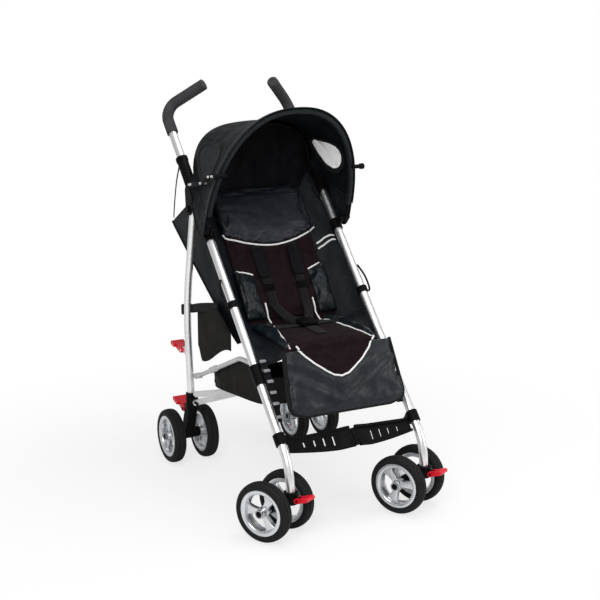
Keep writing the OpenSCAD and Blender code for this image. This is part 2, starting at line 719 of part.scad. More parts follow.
module basket() {
  n = 48;
  m = 10;
  pts = [for (e = [0, basket_t]) for (k = [0:m]) for (j = [0:n - 1]) basket_pt(360 * j / n, k / m, e)];
  o = n * (m + 1);
  color([0.05, 0.05, 0.07]) place() closed(
    pts,
    concat(
      [for (k = [0:m - 1]) for (j = [0:n - 1]) let (a = k * n + j, b = k * n + (j + 1) % n) for (f = [
        [a, b, b + n], [a, b + n, a + n], [o + a, o + b + n, o + b], [o + a, o + a + n, o + b + n]]) f],
      [for (j = [0:n - 1]) let (a = j, b = (j + 1) % n) for (f = [[a, o + b, b], [a, o + a, o + b]]) f],
      [for (j = [1:n - 2]) [m * n, m * n + j, m * n + j + 1]],
      [for (j = [1:n - 2]) [o + m * n, o + m * n + j + 1, o + m * n + j]]
    )
  );
}
// Harness webbing: two padded shoulder straps, lap straps and the crotch strap
function strap_line(k) = k < 0.72
  ? let (p = back_pt(mix(298, 84, k / 0.72), 8.7 + 4 * bump(k / 0.36 - 1, 4)))
    [mix(56, 44, k / 0.72), p[0], p[1]]
  : let (j = (k - 0.72) / 0.28) [mix(44, 14, j), mix(26, -41, j), mix(470, 446, j) + 4 * sin(180 * j)];
function strap_w(k) = k > 0.08 && k < 0.52 ? web_w * 0.8 : web_w / 2;
module strap(side) {
  n = 30;
  function edge(k, j, t) = let (p = strap_line(k), w = strap_w(k) * (2 * j - 1))
    [side * (p[0] + w), p[1] - t * 0.8, p[2] + t * 0.6];
  function turned(j) = side > 0 ? 1 - j / 3 : j / 3;
  skin(
    [for (i = [0:n]) [for (j = [0:3]) edge(i / n, turned(j), strap_w(i / n) > web_w / 2 ? 6 : 2.4)]],
    [for (i = [0:n]) [for (j = [0:3]) edge(i / n, turned(j), 0)]]
  );
}
module harness() {
  function lap(x, j, t) = [x, mix(-50, -74, j), 443.9 + 3 * pow(x / 120, 2) + t];
  function crotch(v, j, t) = [(2 * j - 1) * web_w * 0.6, mix(-62, -150, v), mix(444.2, 441.4, v) + t];
  color([0.04, 0.04, 0.04]) place() {
    strap(1);
    strap(-1);
    skin(
      [for (i = [0:12]) [for (j = [0:2]) lap(-108 + 18 * i, j / 2, 2.4)]],
      [for (i = [0:12]) [for (j = [0:2]) lap(-108 + 18 * i, j / 2, 0)]]
    );
    skin(
      [for (i = [0:6]) [for (j = [0:2]) crotch(i / 6, 1 - j / 2, 3)]],
      [for (i = [0:6]) [for (j = [0:2]) crotch(i / 6, 1 - j / 2, 0)]]
    );
  }
}
module buckle() {
  color([0.05, 0.05, 0.05]) place() translate([0, -64, 447.2]) difference() {
    linear_extrude(height = 14) offset(r = 8) square([32, 26], center = true);
    translate([0, 0, 11]) cylinder(r = 8, h = 10);
  }
}

front_leg(-1);  // front_leg_right
front_leg(1);  // front_leg_left
push_tube(-1);  // push_tube_right
push_tube(1);  // push_tube_left
grip(-1);  // grip_right
grip(1);  // grip_left
joint_housing(-1);  // joint_housing_right
joint_housing(1);  // joint_housing_left
hood_clip(-1);  // hood_clip_right
hood_clip(1);  // hood_clip_left
leg_collar(-1);  // leg_collar_right
leg_collar(1);  // leg_collar_left
rear_leg(-1);  // rear_leg_right
rear_leg(1);  // rear_leg_left
rear_bracket(-1);  // rear_bracket_right
rear_bracket(1);  // rear_bracket_left
rear_axle(-1);  // rear_axle_right
rear_axle(1);  // rear_axle_left
brake_pedal(-1);  // brake_pedal_right
brake_pedal(1);  // brake_pedal_left
fold_lever();
side_link(-1);  // side_link_right
side_link(1);  // side_link_left
brace_a();
brace_b();
footrest_right();
footrest_left();
caster_fork(-1);  // caster_fork_right
caster_fork(1);  // caster_fork_left
caster_axle(-1);  // caster_axle_right
caster_axle(1);  // caster_axle_left
swivel_lock(-1);  // swivel_lock_right
swivel_lock(1);  // swivel_lock_left
rear_wheel(-1, -1) tyre();  // tyre_rr_out
rear_wheel(-1, 1) tyre();  // tyre_rr_in
rear_wheel(1, 1) tyre();  // tyre_rl_out
rear_wheel(1, -1) tyre();  // tyre_rl_in
front_wheel(-1, -1) tyre();  // tyre_fr_out
front_wheel(-1, 1) tyre();  // tyre_fr_in
front_wheel(1, 1) tyre();  // tyre_fl_out
front_wheel(1, -1) tyre();  // tyre_fl_in
rear_wheel(-1, -1) rim();  // rim_rr_out
rear_wheel(-1, 1) rim();  // rim_rr_in
rear_wheel(1, 1) rim();  // rim_rl_out
rear_wheel(1, -1) rim();  // rim_rl_in
front_wheel(-1, -1) rim();  // rim_fr_out
front_wheel(-1, 1) rim();  // rim_fr_in
front_wheel(1, 1) rim();  // rim_fl_out
front_wheel(1, -1) rim();  // rim_fl_in
hood_bow();
hood_rear_bow();
hood_canopy();
seat_pad();
backrest_pad();
leg_rest();
side_wings();
back_cover();
basket();
harness();
buckle();
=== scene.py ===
"""Umbrella stroller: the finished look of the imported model, in metres, in its own frame."""

from __future__ import annotations

import json
import logging
import math
from dataclasses import dataclass, field
from enum import Enum
from typing import Callable, Iterable, Optional, Sequence

import bmesh
import bpy
from mathutils import Matrix, Vector, noise
from mathutils.bvhtree import BVHTree

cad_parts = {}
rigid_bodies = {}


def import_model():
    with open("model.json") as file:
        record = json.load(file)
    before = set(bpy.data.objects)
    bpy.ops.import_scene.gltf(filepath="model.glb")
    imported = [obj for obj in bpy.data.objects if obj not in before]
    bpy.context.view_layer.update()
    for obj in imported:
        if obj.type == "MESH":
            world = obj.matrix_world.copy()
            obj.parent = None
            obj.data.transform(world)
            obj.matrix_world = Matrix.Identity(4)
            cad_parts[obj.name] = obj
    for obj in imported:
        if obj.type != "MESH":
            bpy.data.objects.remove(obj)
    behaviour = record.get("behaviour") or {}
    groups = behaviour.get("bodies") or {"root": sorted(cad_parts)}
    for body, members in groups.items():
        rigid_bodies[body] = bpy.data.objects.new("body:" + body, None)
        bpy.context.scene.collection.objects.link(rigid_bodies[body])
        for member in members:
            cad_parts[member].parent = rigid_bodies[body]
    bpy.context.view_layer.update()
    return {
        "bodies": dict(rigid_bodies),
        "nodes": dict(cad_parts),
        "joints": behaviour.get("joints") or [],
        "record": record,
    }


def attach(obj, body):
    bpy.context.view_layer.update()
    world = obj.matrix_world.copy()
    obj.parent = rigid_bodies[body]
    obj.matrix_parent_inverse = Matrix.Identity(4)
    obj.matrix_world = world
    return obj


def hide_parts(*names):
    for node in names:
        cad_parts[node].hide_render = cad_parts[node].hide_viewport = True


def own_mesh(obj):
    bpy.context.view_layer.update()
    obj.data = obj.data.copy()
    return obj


LOG = logging.getLogger("stroller")
MM = 0.001
ACROSS = Vector((1, 0, 0))
DOWN = Vector((0, 0, -1))

# Distance in metres under which two points are one
WELD = 1e-6

# Angle in radians past which an edge of a plate is rounded
RIM_ANGLE = 0.9

# Angle in degrees past which an edge of cloth stays sharp
SOFT_EDGE = 80.0

# Scale of Blender's wave texture for stripes one metre apart
WAVE = 0.314

# Where a point's ray on to a cushion starts, and how far it looks, in metres
CAST_FROM = 0.12
CAST_REACH = 0.2

# Cloth simulation of the cushions
CLOTH_FRAMES = 20
CLOTH_STRETCH = 12.0
CLOTH_BENDING = 0.6

Colour = tuple[float, float, float]
Triple = tuple[float, float, float]
Profile = Sequence[tuple[float, float]]
Shape = Callable[[float, float], Vector]
Weight = Callable[[Vector], float]
Frame = dict
Piece = bpy.types.Object
Mesh = bmesh.types.BMesh
Socket = bpy.types.NodeSocket


def mix(a: float, b: float, k: float) -> float:
    """The value that lies the share k of the way from a to b."""
    return a + (b - a) * k


def clamp(k: float) -> float:
    """k held between 0 and 1."""
    return min(1.0, max(0.0, k))


def smooth(k: float) -> float:
    """k eased in and out between 0 and 1."""
    k = clamp(k)
    return k * k * (3.0 - 2.0 * k)


def bump(u: float, power: float) -> float:
    """A crown that is 1 at u = 0 and 0 at u = 1 and -1."""
    return max(0.0, 1.0 - abs(u) ** power)


def dent(u: float, width: float) -> float:
    """A bell that is 1 at u = 0 and falls off over the width."""
    return math.exp(-((u / width) ** 2))


def ripple(x: float, y: float, z: float = 0.0) -> float:
    """Smooth noise between about -1 and 1, the same on each run."""
    return noise.noise(Vector((x, y, z)))


def picked(line: Sequence[Vector], v: float) -> Vector:
    """The point of a line that lies nearest to the share v of it."""
    last = len(line) - 1
    return line[min(last, int(round(v * last)))]


def both(half: Profile) -> Profile:
    """Half a profile together with its mirror image."""
    return tuple(half) + tuple((-x, r) for x, r in reversed(half))


def drum(low: float, high: float, bore: float, radius: float, edge: float, fall: float = 0.0) -> Profile:
    """The profile of a round bar with chamfered ends, in millimetres.

    Args:
        low: Place of its first end along the axis.
        high: Place of its other end.
        bore: Radius of its bore, or 0.
        radius: Its radius.
        edge: Length of a chamfer along the axis.
        fall: Height of a chamfer, where it isn't the same.

    Returns:
        Pairs of place along the axis and radius.
    """
    small = radius - (fall or edge)
    rise, run_out = (low + edge, radius), (high - edge, radius)
    return ((low, bore), (low, small), rise, run_out, (high, small), (high, bore))


class Side(Enum):
    """The two sides of the stroller, as the seated child has them."""

    RIGHT = -1
    LEFT = 1

    @property
    def label(self) -> str:
        """The side's name as the bodies and nodes spell it."""
        return self.name.lower()


@dataclass
class Skeleton:
    """The main lines of the stroller, in millimetres, and where they lie in the frame.

    Attributes:
        half: Half the distance between the two long tubes.
        tube_r: Radius of the long tubes.
        foot: Place (y, z) of a long tube's foot.
        rear_x: Sideways place of the rear legs.
        slope: Slope of the long tubes in degrees.
        base: Place (y, z) where the straight of a long tube begins.
        back_origin: Place (y, z) where the backrest plane begins.
        back_slope: Slope of the backrest in degrees.
        rest_origin: Place (y, z) of the leg rest's upper edge.
        rest_slope: Slope of the leg rest in degrees.
        origin: Place in the frame, in metres, of the stroller's own zero.
    """

    half: float = 189.0
    tube_r: float = 11.0
    foot: tuple[float, float] = (-337.0, 120.0)
    rear_x: float = 191.5
    slope: float = 46.7
    base: tuple[float, float] = (-298.89, 216.02)
    back_origin: tuple[float, float] = (-19.0, 400.0)
    back_slope: float = 54.2
    rest_origin: tuple[float, float] = (-227.3, 434.0)
    rest_slope: float = 66.0
    origin: Vector = field(default_factory=Vector)

    @classmethod
    def of(cls, frame: Frame) -> "Skeleton":
        """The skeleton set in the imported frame, by its right caster.


        Returns:
            A skeleton whose zero is the frame's.
        """
        spot = next(j["pos_m"] for j in frame["joints"] if j["name"] == "caster_right_swivel")
        return cls(origin=Vector((spot[0] + cls.half * MM, spot[1] - cls.foot[0] * MM, 0.0)))

    def at(self, x: float, y: float, z: float) -> Vector:
        """A point of the stroller, from millimetres to the frame's metres."""
        return self.origin + Vector((x, y, z)) * MM

    def local(self, spot: Vector) -> Vector:
        """A point of the frame, in metres, as the stroller's own millimetres."""
        return (spot - self.origin) / MM

    def tube(self, x: float, d: float, off: float = 0.0) -> Vector:
        """A point d along a long tube and off behind it."""
        c, s = math.cos(math.radians(self.slope)), math.sin(math.radians(self.slope))
        return self.at(x, self.base[0] + d * c + off * s, self.base[1] + d * s - off * c)

    @property
    def tube_way(self) -> Vector:
        """The direction up the long tubes."""
        return (self.tube(0.0, 100.0) - self.tube(0.0, 0.0)).normalized()

    @property
    def into_back(self) -> Vector:
        """The direction into the backrest."""
        return (self.back(0, 0, -1) - self.back(0, 0, 0)).normalized()

    def up_back(self, p: Vector) -> float:
        """How far up the backrest a point in the stroller's millimetres lies."""
        return self.on_back(self.at(p.x, p.y, p.z))[1]

    def back(self, x: float, s: float, t: float = 0.0) -> Vector:
        """A point s up the backrest and t in front of it."""
        c, k = math.cos(math.radians(self.back_slope)), math.sin(math.radians(self.back_slope))
        return self.at(x, self.back_origin[0] + s * c - t * k, self.back_origin[1] + s * k + t * c)

    def on_back(self, spot: Vector) -> tuple[float, float, float]:
        """How a point of the frame lies on the backrest.

        Args:
            spot: The point, in metres.

        Returns:
            Sideways place, distance up the backrest and distance in front of it.
        """
        p = self.local(spot)
        c, k = math.cos(math.radians(self.back_slope)), math.sin(math.radians(self.back_slope))
        y, z = p.y - self.back_origin[0], p.z - self.back_origin[1]
        return p.x, y * c + z * k, -y * k + z * c

    def rest(self, x: float, s: float, t: float = 0.0) -> Vector:
        """A point s down the leg rest and t in front of it."""
        c, k = math.cos(math.radians(self.rest_slope)), math.sin(math.radians(self.rest_slope))
        return self.at(x, self.rest_origin[0] - s * c - t * k, self.rest_origin[1] - s * k + t * c)

    def on_rest(self, spot: Vector) -> tuple[float, float, float]:
        """How a point of the frame lies on the leg rest.

        Args:
            spot: The point, in metres.

        Returns:
            Sideways place, distance down the leg rest and distance in front of it.
        """
        p = self.local(spot)
        c, k = math.cos(math.radians(self.rest_slope)), math.sin(math.radians(self.rest_slope))
        y, z = p.y - self.rest_origin[0], p.z - self.rest_origin[1]
        return p.x, -y * c - z * k, -y * k + z * c


class Shader:
    """A material's node tree round one Principled shader."""

    def __init__(self, name: str) -> None:
        """Start an empty material.

        Args:
            name: The material's name.
        """
        self.material = bpy.data.materials.new(name)
        self.material.use_nodes = True
        self.tree = self.material.node_tree
        self.tree.nodes.clear()
        self.surface = self.tree.nodes.new("ShaderNodeBsdfPrincipled")
        out = self.tree.nodes.new("ShaderNodeOutputMaterial")
        self.tree.links.new(self.surface.outputs[0], out.inputs["Surface"])

    def add(self, kind: str, inputs: Optional[dict] = None, **settings: object) -> bpy.types.Node:
        """Add a node.

        Args:
            kind: The node's type, without ShaderNode.
            inputs: Value or socket for each input, by name or number.
            settings: Values of the node's own properties.

        Returns:
            The node.
        """
        node = self.tree.nodes.new("ShaderNode" + kind)
        for key, value in settings.items():
            setattr(node, key, value)
        for key, value in (inputs or {}).items():
            self.put(node.inputs[key], value)
        return node

    def put(self, socket: Socket, value: object) -> None:
        """Link a socket to the given one, or set its value."""
        if isinstance(value, Socket):
            self.tree.links.new(value, socket)
        else:
            socket.default_value = value

    def set(self, **values: object) -> None:
        """Set the Principled shader's sockets, with _ for a space in a name."""
        for key, value in values.items():
            self.put(self.surface.inputs[key.replace("_", " ")], value)

    def coordinates(self, by_uv: bool) -> Socket:
        """The piece's own UV map, or its Object coordinates."""
        return self.add("TexCoord").outputs["UV" if by_uv else "Object"]

    def scaled(self, where: Socket, size: Triple, turn: Triple = (0, 0, 0)) -> Socket:
        """The coordinates scaled and turned by a Mapping node."""
        return self.add("Mapping", {"Vector": where, "Scale": size, "Rotation": turn}).outputs[0]

    def stripes(self, where: Socket, pitch: float, way: str) -> Socket:
        """Wave stripes of that pitch in metres, across the named axis."""
        wave = self.add("TexWave", {"Vector": where, "Scale": WAVE / pitch}, bands_direction=way)
        return wave.outputs["Fac"]

    def cloud(self, where: Socket, scale: float, detail: float = 4.0) -> Socket:
        """Noise of that scale as one value."""
        return self.add("TexNoise", {"Vector": where, "Scale": scale, "Detail": detail}).outputs["Fac"]

    def spread(self, value: Socket, low: float, high: float) -> Socket:
        """A value from 0.3 to 0.7 spread from low to high."""
        return self.add("MapRange", {0: value, 1: 0.3, 2: 0.7, 3: low, 4: high}).outputs[0]

    def shades(self, value: Socket, colour: Colour, change: float) -> Socket:
        """The colour, darker where the value is low and lighter where it is high."""
        ramp = self.add("ValToRGB", {"Fac": value})
        for stop, place, gain in zip(ramp.color_ramp.elements, (0.3, 0.7), (1 - change, 1 + change)):
            stop.position = place
            stop.color = (*(min(1.0, c * gain) for c in colour), 1.0)
        return ramp.outputs["Color"]

    def relief(self, *layers: tuple[Socket, float, float]) -> None:
        """Bump layers laid one on the other.

        Args:
            layers: Height, strength and distance in metres of each layer.
        """
        normal: Optional[Socket] = None
        for height, strength, distance in layers:
            given: dict = {"Height": height, "Strength": strength, "Distance": distance}
            if normal is not None:
                given["Normal"] = normal
            normal = self.add("Bump", given).outputs[0]
        self.set(Normal=normal)


@dataclass(frozen=True)
class Cloth:
    """Woven cloth, coated or plain.

    Attributes:
        colour: Base colour.
        rough: Roughness of the surface.
        gloss: Specular level.
        fuzz: Sheen weight.
        pitch: Distance between threads, in metres.
        crease: Height of the small creases, in metres.
        by_uv: Whether the weave follows the piece's own UV map.
        change: How far the colour varies.
    """

    colour: Colour
    rough: float = 0.5
    gloss: float = 0.3
    fuzz: float = 0.0
    pitch: float = 0.0014
    crease: float = 0.002
    by_uv: bool = True
    change: float = 0.25

    def make(self, name: str) -> bpy.types.Material:
        """The cloth as a material of that name."""
        shader = Shader(name)
        where = shader.coordinates(self.by_uv)
        place = shader.coordinates(False)
        warp = shader.stripes(where, self.pitch, "X")
        weft = shader.stripes(where, self.pitch, "Y" if self.by_uv else "Z")
        weave = shader.add("Math", {0: warp, 1: weft}, operation="MAXIMUM").outputs[0]
        soft = shader.cloud(place, 26.0, 5.0)
        shader.set(
            Base_Color=shader.shades(shader.cloud(place, 60.0), self.colour, self.change),
            Roughness=shader.spread(soft, self.rough - 0.06, self.rough + 0.08),
            Specular_IOR_Level=self.gloss,
            Sheen_Weight=self.fuzz,
            Sheen_Roughness=0.4,
        )
        shader.relief((soft, 0.5, self.crease), (weave, 0.35, self.pitch * 0.25))
        return shader.material


@dataclass(frozen=True)
class Moulded:
    """Moulded plastic, rubber or foam.

    Attributes:
        colour: Base colour.
        rough: Roughness.
        gloss: Specular level.
        grain: Scale of the moulded grain.
        depth: Depth of the grain, in metres.
        metal: Metallic share, for metal paint.
        change: How far the colour varies.
    """

    colour: Colour
    rough: float = 0.45
    gloss: float = 0.4
    grain: float = 700.0
    depth: float = 0.0003
    metal: float = 0.0
    change: float = 0.12

    def make(self, name: str) -> bpy.types.Material:
        """The moulding as a material of that name."""
        shader = Shader(name)
        where = shader.coordinates(False)
        worn = shader.cloud(where, 45.0, 6.0)
        shader.set(
            Base_Color=shader.shades(worn, self.colour, self.change),
            Roughness=shader.spread(worn, self.rough - 0.06, self.rough + 0.07),
            Specular_IOR_Level=self.gloss,
            Metallic=self.metal,
        )
        shader.relief((shader.cloud(where, self.grain, 2.0), 0.4, self.depth))
        return shader.material


@dataclass(frozen=True)
class Metal:
    """Drawn and brushed metal.

    Attributes:
        colour: Base colour.
        rough: Roughness.
        turn: Turn of the brushing about the X axis, in degrees.
    """

    colour: Colour
    rough: float = 0.3
    turn: float = 0.0

    def make(self, name: str) -> bpy.types.Material:
        """The metal as a material of that name."""
        shader = Shader(name)
        where = shader.coordinates(False)
        along = shader.scaled(where, (900.0, 900.0, 14.0), (math.radians(self.turn), 0.0, 0.0))
        drawn = shader.cloud(along, 1.0, 3.0)
        shader.set(
            Base_Color=shader.shades(shader.cloud(where, 30.0), self.colour, 0.05),
            Roughness=shader.spread(drawn, self.rough - 0.05, self.rough + 0.08),
            Metallic=1.0,
        )
        shader.relief((drawn, 0.12, 0.0002))
        return shader.material


@dataclass(frozen=True)
class Webbing:
    """Woven strap with ribs across its length.

    Attributes:
        colour: Base colour.
        rib: Distance between ribs, in metres.
        thread: Distance between the threads along it, in metres.
    """

    colour: Colour
    rib: float = 0.0018
    thread: float = 0.0011

    def make(self, name: str) -> bpy.types.Material:
        """The strap as a material of that name."""
        shader = Shader(name)
        where = shader.coordinates(True)
        ribs = shader.stripes(where, self.rib, "Y")
        threads = shader.stripes(where, self.thread, "X")
        shader.set(
            Base_Color=shader.shades(shader.cloud(shader.coordinates(False), 80.0), self.colour, 0.25),
            Roughness=0.72,
            Specular_IOR_Level=0.12,
            Sheen_Weight=0.04,
        )
        shader.relief((ribs, 0.6, 0.0005), (threads, 0.3, 0.0002))
        return shader.material


class Finish(Enum):
    """Every finish of the stroller."""

    HOOD_CLOTH = Cloth((0.0042, 0.0058, 0.0072), rough=0.5, gloss=0.1, crease=0.004)
    HOOD_HEM = Cloth((0.0085, 0.0120, 0.0132), rough=0.48, gloss=0.15, fuzz=0.02, crease=0.0012)
    HOOD_LINING = Cloth((0.0045, 0.0045, 0.006), rough=0.7, gloss=0.07, crease=0.005)
    SIDE_CLOTH = Cloth((0.0046, 0.0062, 0.0084), rough=0.42, gloss=0.15, crease=0.004)
    LEG_CLOTH = Cloth((0.0060, 0.0085, 0.0122), rough=0.38, gloss=0.3, crease=0.004, by_uv=False)
    HEAD_CLOTH = Cloth((0.0100, 0.0122, 0.0175), rough=0.36, gloss=0.28, crease=0.003, by_uv=False)
    PUFF_CLOTH = Cloth((0.0040, 0.0074, 0.0098), rough=0.36, gloss=0.25, crease=0.005, by_uv=False)
    PANEL_CLOTH = Cloth(
        (0.0105, 0.0056, 0.0068), rough=0.85, gloss=0.05, fuzz=0.03, pitch=0.0022, crease=0.0015, by_uv=False)
    BASKET_CLOTH = Cloth((0.0105, 0.0096, 0.0086), rough=0.7, gloss=0.1, pitch=0.002, crease=0.004)
    PIPING = Cloth(
        (0.74, 0.74, 0.73), rough=0.6, gloss=0.3, pitch=0.0016, crease=0.0004, by_uv=False, change=0.06)
    BINDING = Webbing((0.006, 0.0064, 0.0072), rib=0.0026)
    STRAP = Webbing((0.0052, 0.0052, 0.0056))
    NET = Moulded((0.045, 0.047, 0.052), rough=0.7, gloss=0.1)
    ALUMINIUM = Metal((0.86, 0.865, 0.875), rough=0.34, turn=43.3)
    # Aluminium of the rear legs and braces, brushed upright; its base colour, lighter than ALUMINIUM, is
    # painted light for the brighter rear legs
    LEG_ALUMINIUM = Metal((0.93, 0.935, 0.94), rough=0.4)
    STEEL = Metal((0.42, 0.42, 0.44), rough=0.3)
    BLACK_PLASTIC = Moulded((0.0042, 0.0042, 0.0045), rough=0.4, gloss=0.05)
    GREY_PLASTIC = Moulded((0.30, 0.31, 0.33), rough=0.45, gloss=0.3)
    WHITE_PLASTIC = Moulded((0.55, 0.555, 0.56), rough=0.42, gloss=0.3, change=0.05)
    RED_PLASTIC = Moulded((0.66, 0.009, 0.022), rough=0.34, gloss=0.35, change=0.06)
    RIM_PLASTIC = Moulded(
        (0.67, 0.69, 0.712), rough=0.28, metal=0.9, grain=900.0, depth=0.00005, change=0.05)
    TYRE = Moulded((0.0135, 0.0135, 0.0142), rough=0.6, gloss=0.08, grain=420.0, depth=0.0006)
    FOAM = Moulded((0.048, 0.046, 0.049), rough=0.9, gloss=0.1, grain=520.0, depth=0.0012, change=0.2)

    @property
    def material(self) -> bpy.types.Material:
        """The finish's material, made once."""
        name = f"finish_{self.name.lower()}"
        return bpy.data.materials.get(name) or self.value.make(name)


def grid(shape: Shape, across: int, along: int, size: tuple[float, float],
         hole: Optional[Callable[[float, float], bool]] = None) -> Mesh:
    """A sheet over the unit square, bent by a shape.

    Args:
        shape: Gives the place in the frame of each (u, v).
        across: Faces along u.
        along: Faces along v.
        size: Flat size in metres along u and v, for the UV map.
        hole: Tells which (u, v) are cut out.

    Returns:
        The sheet, one layer thick.
    """
    bm = bmesh.new()
    layer = bm.loops.layers.uv.new("UVMap")
    bmesh.ops.create_grid(bm, x_segments=across, y_segments=along, size=0.5)
    for face in bm.faces:
        for loop in face.loops:
            loop[layer].uv = ((loop.vert.co.x + 0.5) * size[0], (loop.vert.co.y + 0.5) * size[1])
    if hole:
        centres = {face: face.calc_center_median() for face in bm.faces}
        cut = [face for face, c in centres.items() if hole(c.x + 0.5, c.y + 0.5)]
        bmesh.ops.delete(bm, geom=cut, context="FACES")
    for vert in bm.verts:
        vert.co = shape(vert.co.x + 0.5, vert.co.y + 0.5)
    return bm


def shut(front: Shape, rear: Shape, across: int, along: int) -> Mesh:
    """A closed form between a front and a rear sheet, bridged round its edge.

    Args:
        front: The front sheet's shape.
        rear: The rear sheet's shape.
        across: Faces along u.
        along: Faces along v.

    Returns:
        The closed form, its faces outwards.
    """
    bm = joined(*(grid(shape, across, along, (1.0, 1.0)) for shape in (front, rear)))
    bmesh.ops.bridge_loops(bm, edges=[e for e in bm.edges if e.is_boundary])
    bmesh.ops.recalc_face_normals(bm, faces=bm.faces[:])
    return bm


def eased(points: Sequence[Vector], count: int) -> list[Vector]:
    """A smooth line through the points.

    Args:
        points: The points that it passes.
        count: How many pieces each stretch gets.

    Returns:
        The line's points.
    """
    line: list[Vector] = []
    last = len(points) - 1
    for i in range(last):
        a, b, c, d = (points[max(0, min(last, i + k))] for k in (-1, 0, 1, 2))
        for j in range(count):
            t = j / count
            line.append(0.5 * (2 * b + (c - a) * t + (2 * a - 5 * b + 4 * c - d) * t * t
                               + (3 * b - a - 3 * c + d) * t ** 3))
    return line + [points[-1].copy()]


def rod(path: Sequence[Vector], radius: float, sides: int = 10, ring: bool = False) -> Mesh:
    """A round bar along a path.

    Args:
        path: Points of its middle line, in metres.
        radius: Its radius in metres.
        sides: About how many faces it has round it.
        ring: Whether the path closes on itself.

    Returns:
        The bar, with closed ends.
    """
    curve = bpy.data.curves.new("rod", "CURVE")
    curve.dimensions = "3D"
    curve.bevel_depth = radius
    curve.bevel_resolution = max(1, sides // 2 - 1)
    curve.use_fill_caps = not ring
    spline = curve.splines.new("POLY")
    spline.points.add(len(path) - 1)
    spline.use_cyclic_u = ring
    for point, spot in zip(spline.points, path):
        point.co = (*spot, 1.0)
    holder = bpy.data.objects.new("rod", curve)
    mesh = bpy.data.meshes.new_from_object(holder)
    bm = bmesh.new()
    bm.from_mesh(mesh)
    bpy.data.objects.remove(holder)
    bpy.data.curves.remove(curve)
    bpy.data.meshes.remove(mesh)
    bmesh.ops.remove_doubles(bm, verts=bm.verts[:], dist=WELD)
    bmesh.ops.recalc_face_normals(bm, faces=bm.faces[:])
    return bm


def spun(profile: Profile, place: Matrix, steps: int = 64, ring: bool = False) -> Mesh:
    """A profile spun about the X axis.

    Args:
        profile: Pairs of place along the axis and radius, in millimetres.
        place: Where the spun shape goes.
        steps: Faces round it.
        ring: Whether the profile closes on itself, as a tyre's does.

    Returns:
        The spun shape.
    """
    bm = bmesh.new()
    chain = [bm.verts.new((x * MM, 0.0, r * MM)) for x, r in profile]
    ends = list(zip(chain, chain[1:])) + ([(chain[-1], chain[0])] if ring else [])
    edges = [bm.edges.new(pair) for pair in ends]
    bmesh.ops.spin(
        bm, geom=chain + edges, cent=(0, 0, 0), axis=(1, 0, 0), angle=math.tau, steps=steps, use_merge=True)
    bmesh.ops.remove_doubles(bm, verts=bm.verts[:], dist=WELD)
    bmesh.ops.recalc_face_normals(bm, faces=bm.faces[:])
    bmesh.ops.transform(bm, matrix=place, verts=bm.verts[:])
    return bm


def plate(outline: Profile, thick: float, edge: float, place: Matrix) -> Mesh:
    """A flat outline given a thickness and rounded edges.

    Args:
        outline: Points (y, z) in millimetres, in the plane across the X axis.
        thick: Thickness along X, in millimetres.
        edge: Width of the rounded edge, in millimetres.
        place: Where the plate goes.

    Returns:
        The plate.
    """
    bm = bmesh.new()
    face = bm.faces.new([bm.verts.new((-thick * MM / 2, y * MM, z * MM)) for y, z in outline])
    grown = bmesh.ops.extrude_face_region(bm, geom=[face])["geom"]
    lifted = [item for item in grown if isinstance(item, bmesh.types.BMVert)]
    bmesh.ops.translate(bm, vec=(thick * MM, 0, 0), verts=lifted)
    bmesh.ops.recalc_face_normals(bm, faces=bm.faces[:])
    rims = [e for e in bm.edges if len(e.link_faces) == 2 and e.calc_face_angle(0.0) > RIM_ANGLE]
    bmesh.ops.bevel(
        bm, geom=rims, offset=edge * MM, offset_type="OFFSET", affect="EDGES", segments=3, profile=0.5,
        material=-1, clamp_overlap=True)
    bmesh.ops.transform(bm, matrix=place, verts=bm.verts[:])
    return bm


def joined(*parts: Mesh) -> Mesh:
    """Several shapes as one.

    Args:
        parts: The shapes, which are used up.

    Returns:
        One shape with all of them.
    """
    whole = bmesh.new()
    for part in parts:
        held = bpy.data.meshes.new("part")
        part.to_mesh(held)
        part.free()
        whole.from_mesh(held)
        bpy.data.meshes.remove(held)
    return whole


def facing(axis: Vector, spot: Vector) -> Matrix:
    """The place that turns the X axis to the given one at a spot, with Z kept up.

    Args:
        axis: Where X goes.
        spot: Where the zero goes.

    Returns:
        The place as a matrix.
    """
    x = axis.normalized()
    up = Vector((0, 0, 1)) if abs(x.z) < 0.95 else Vector((0, 1, 0))
    y = up.cross(x).normalized()
    turn = Matrix((x, y, x.cross(y))).transposed().to_4x4()
    return Matrix.Translation(spot) @ turn


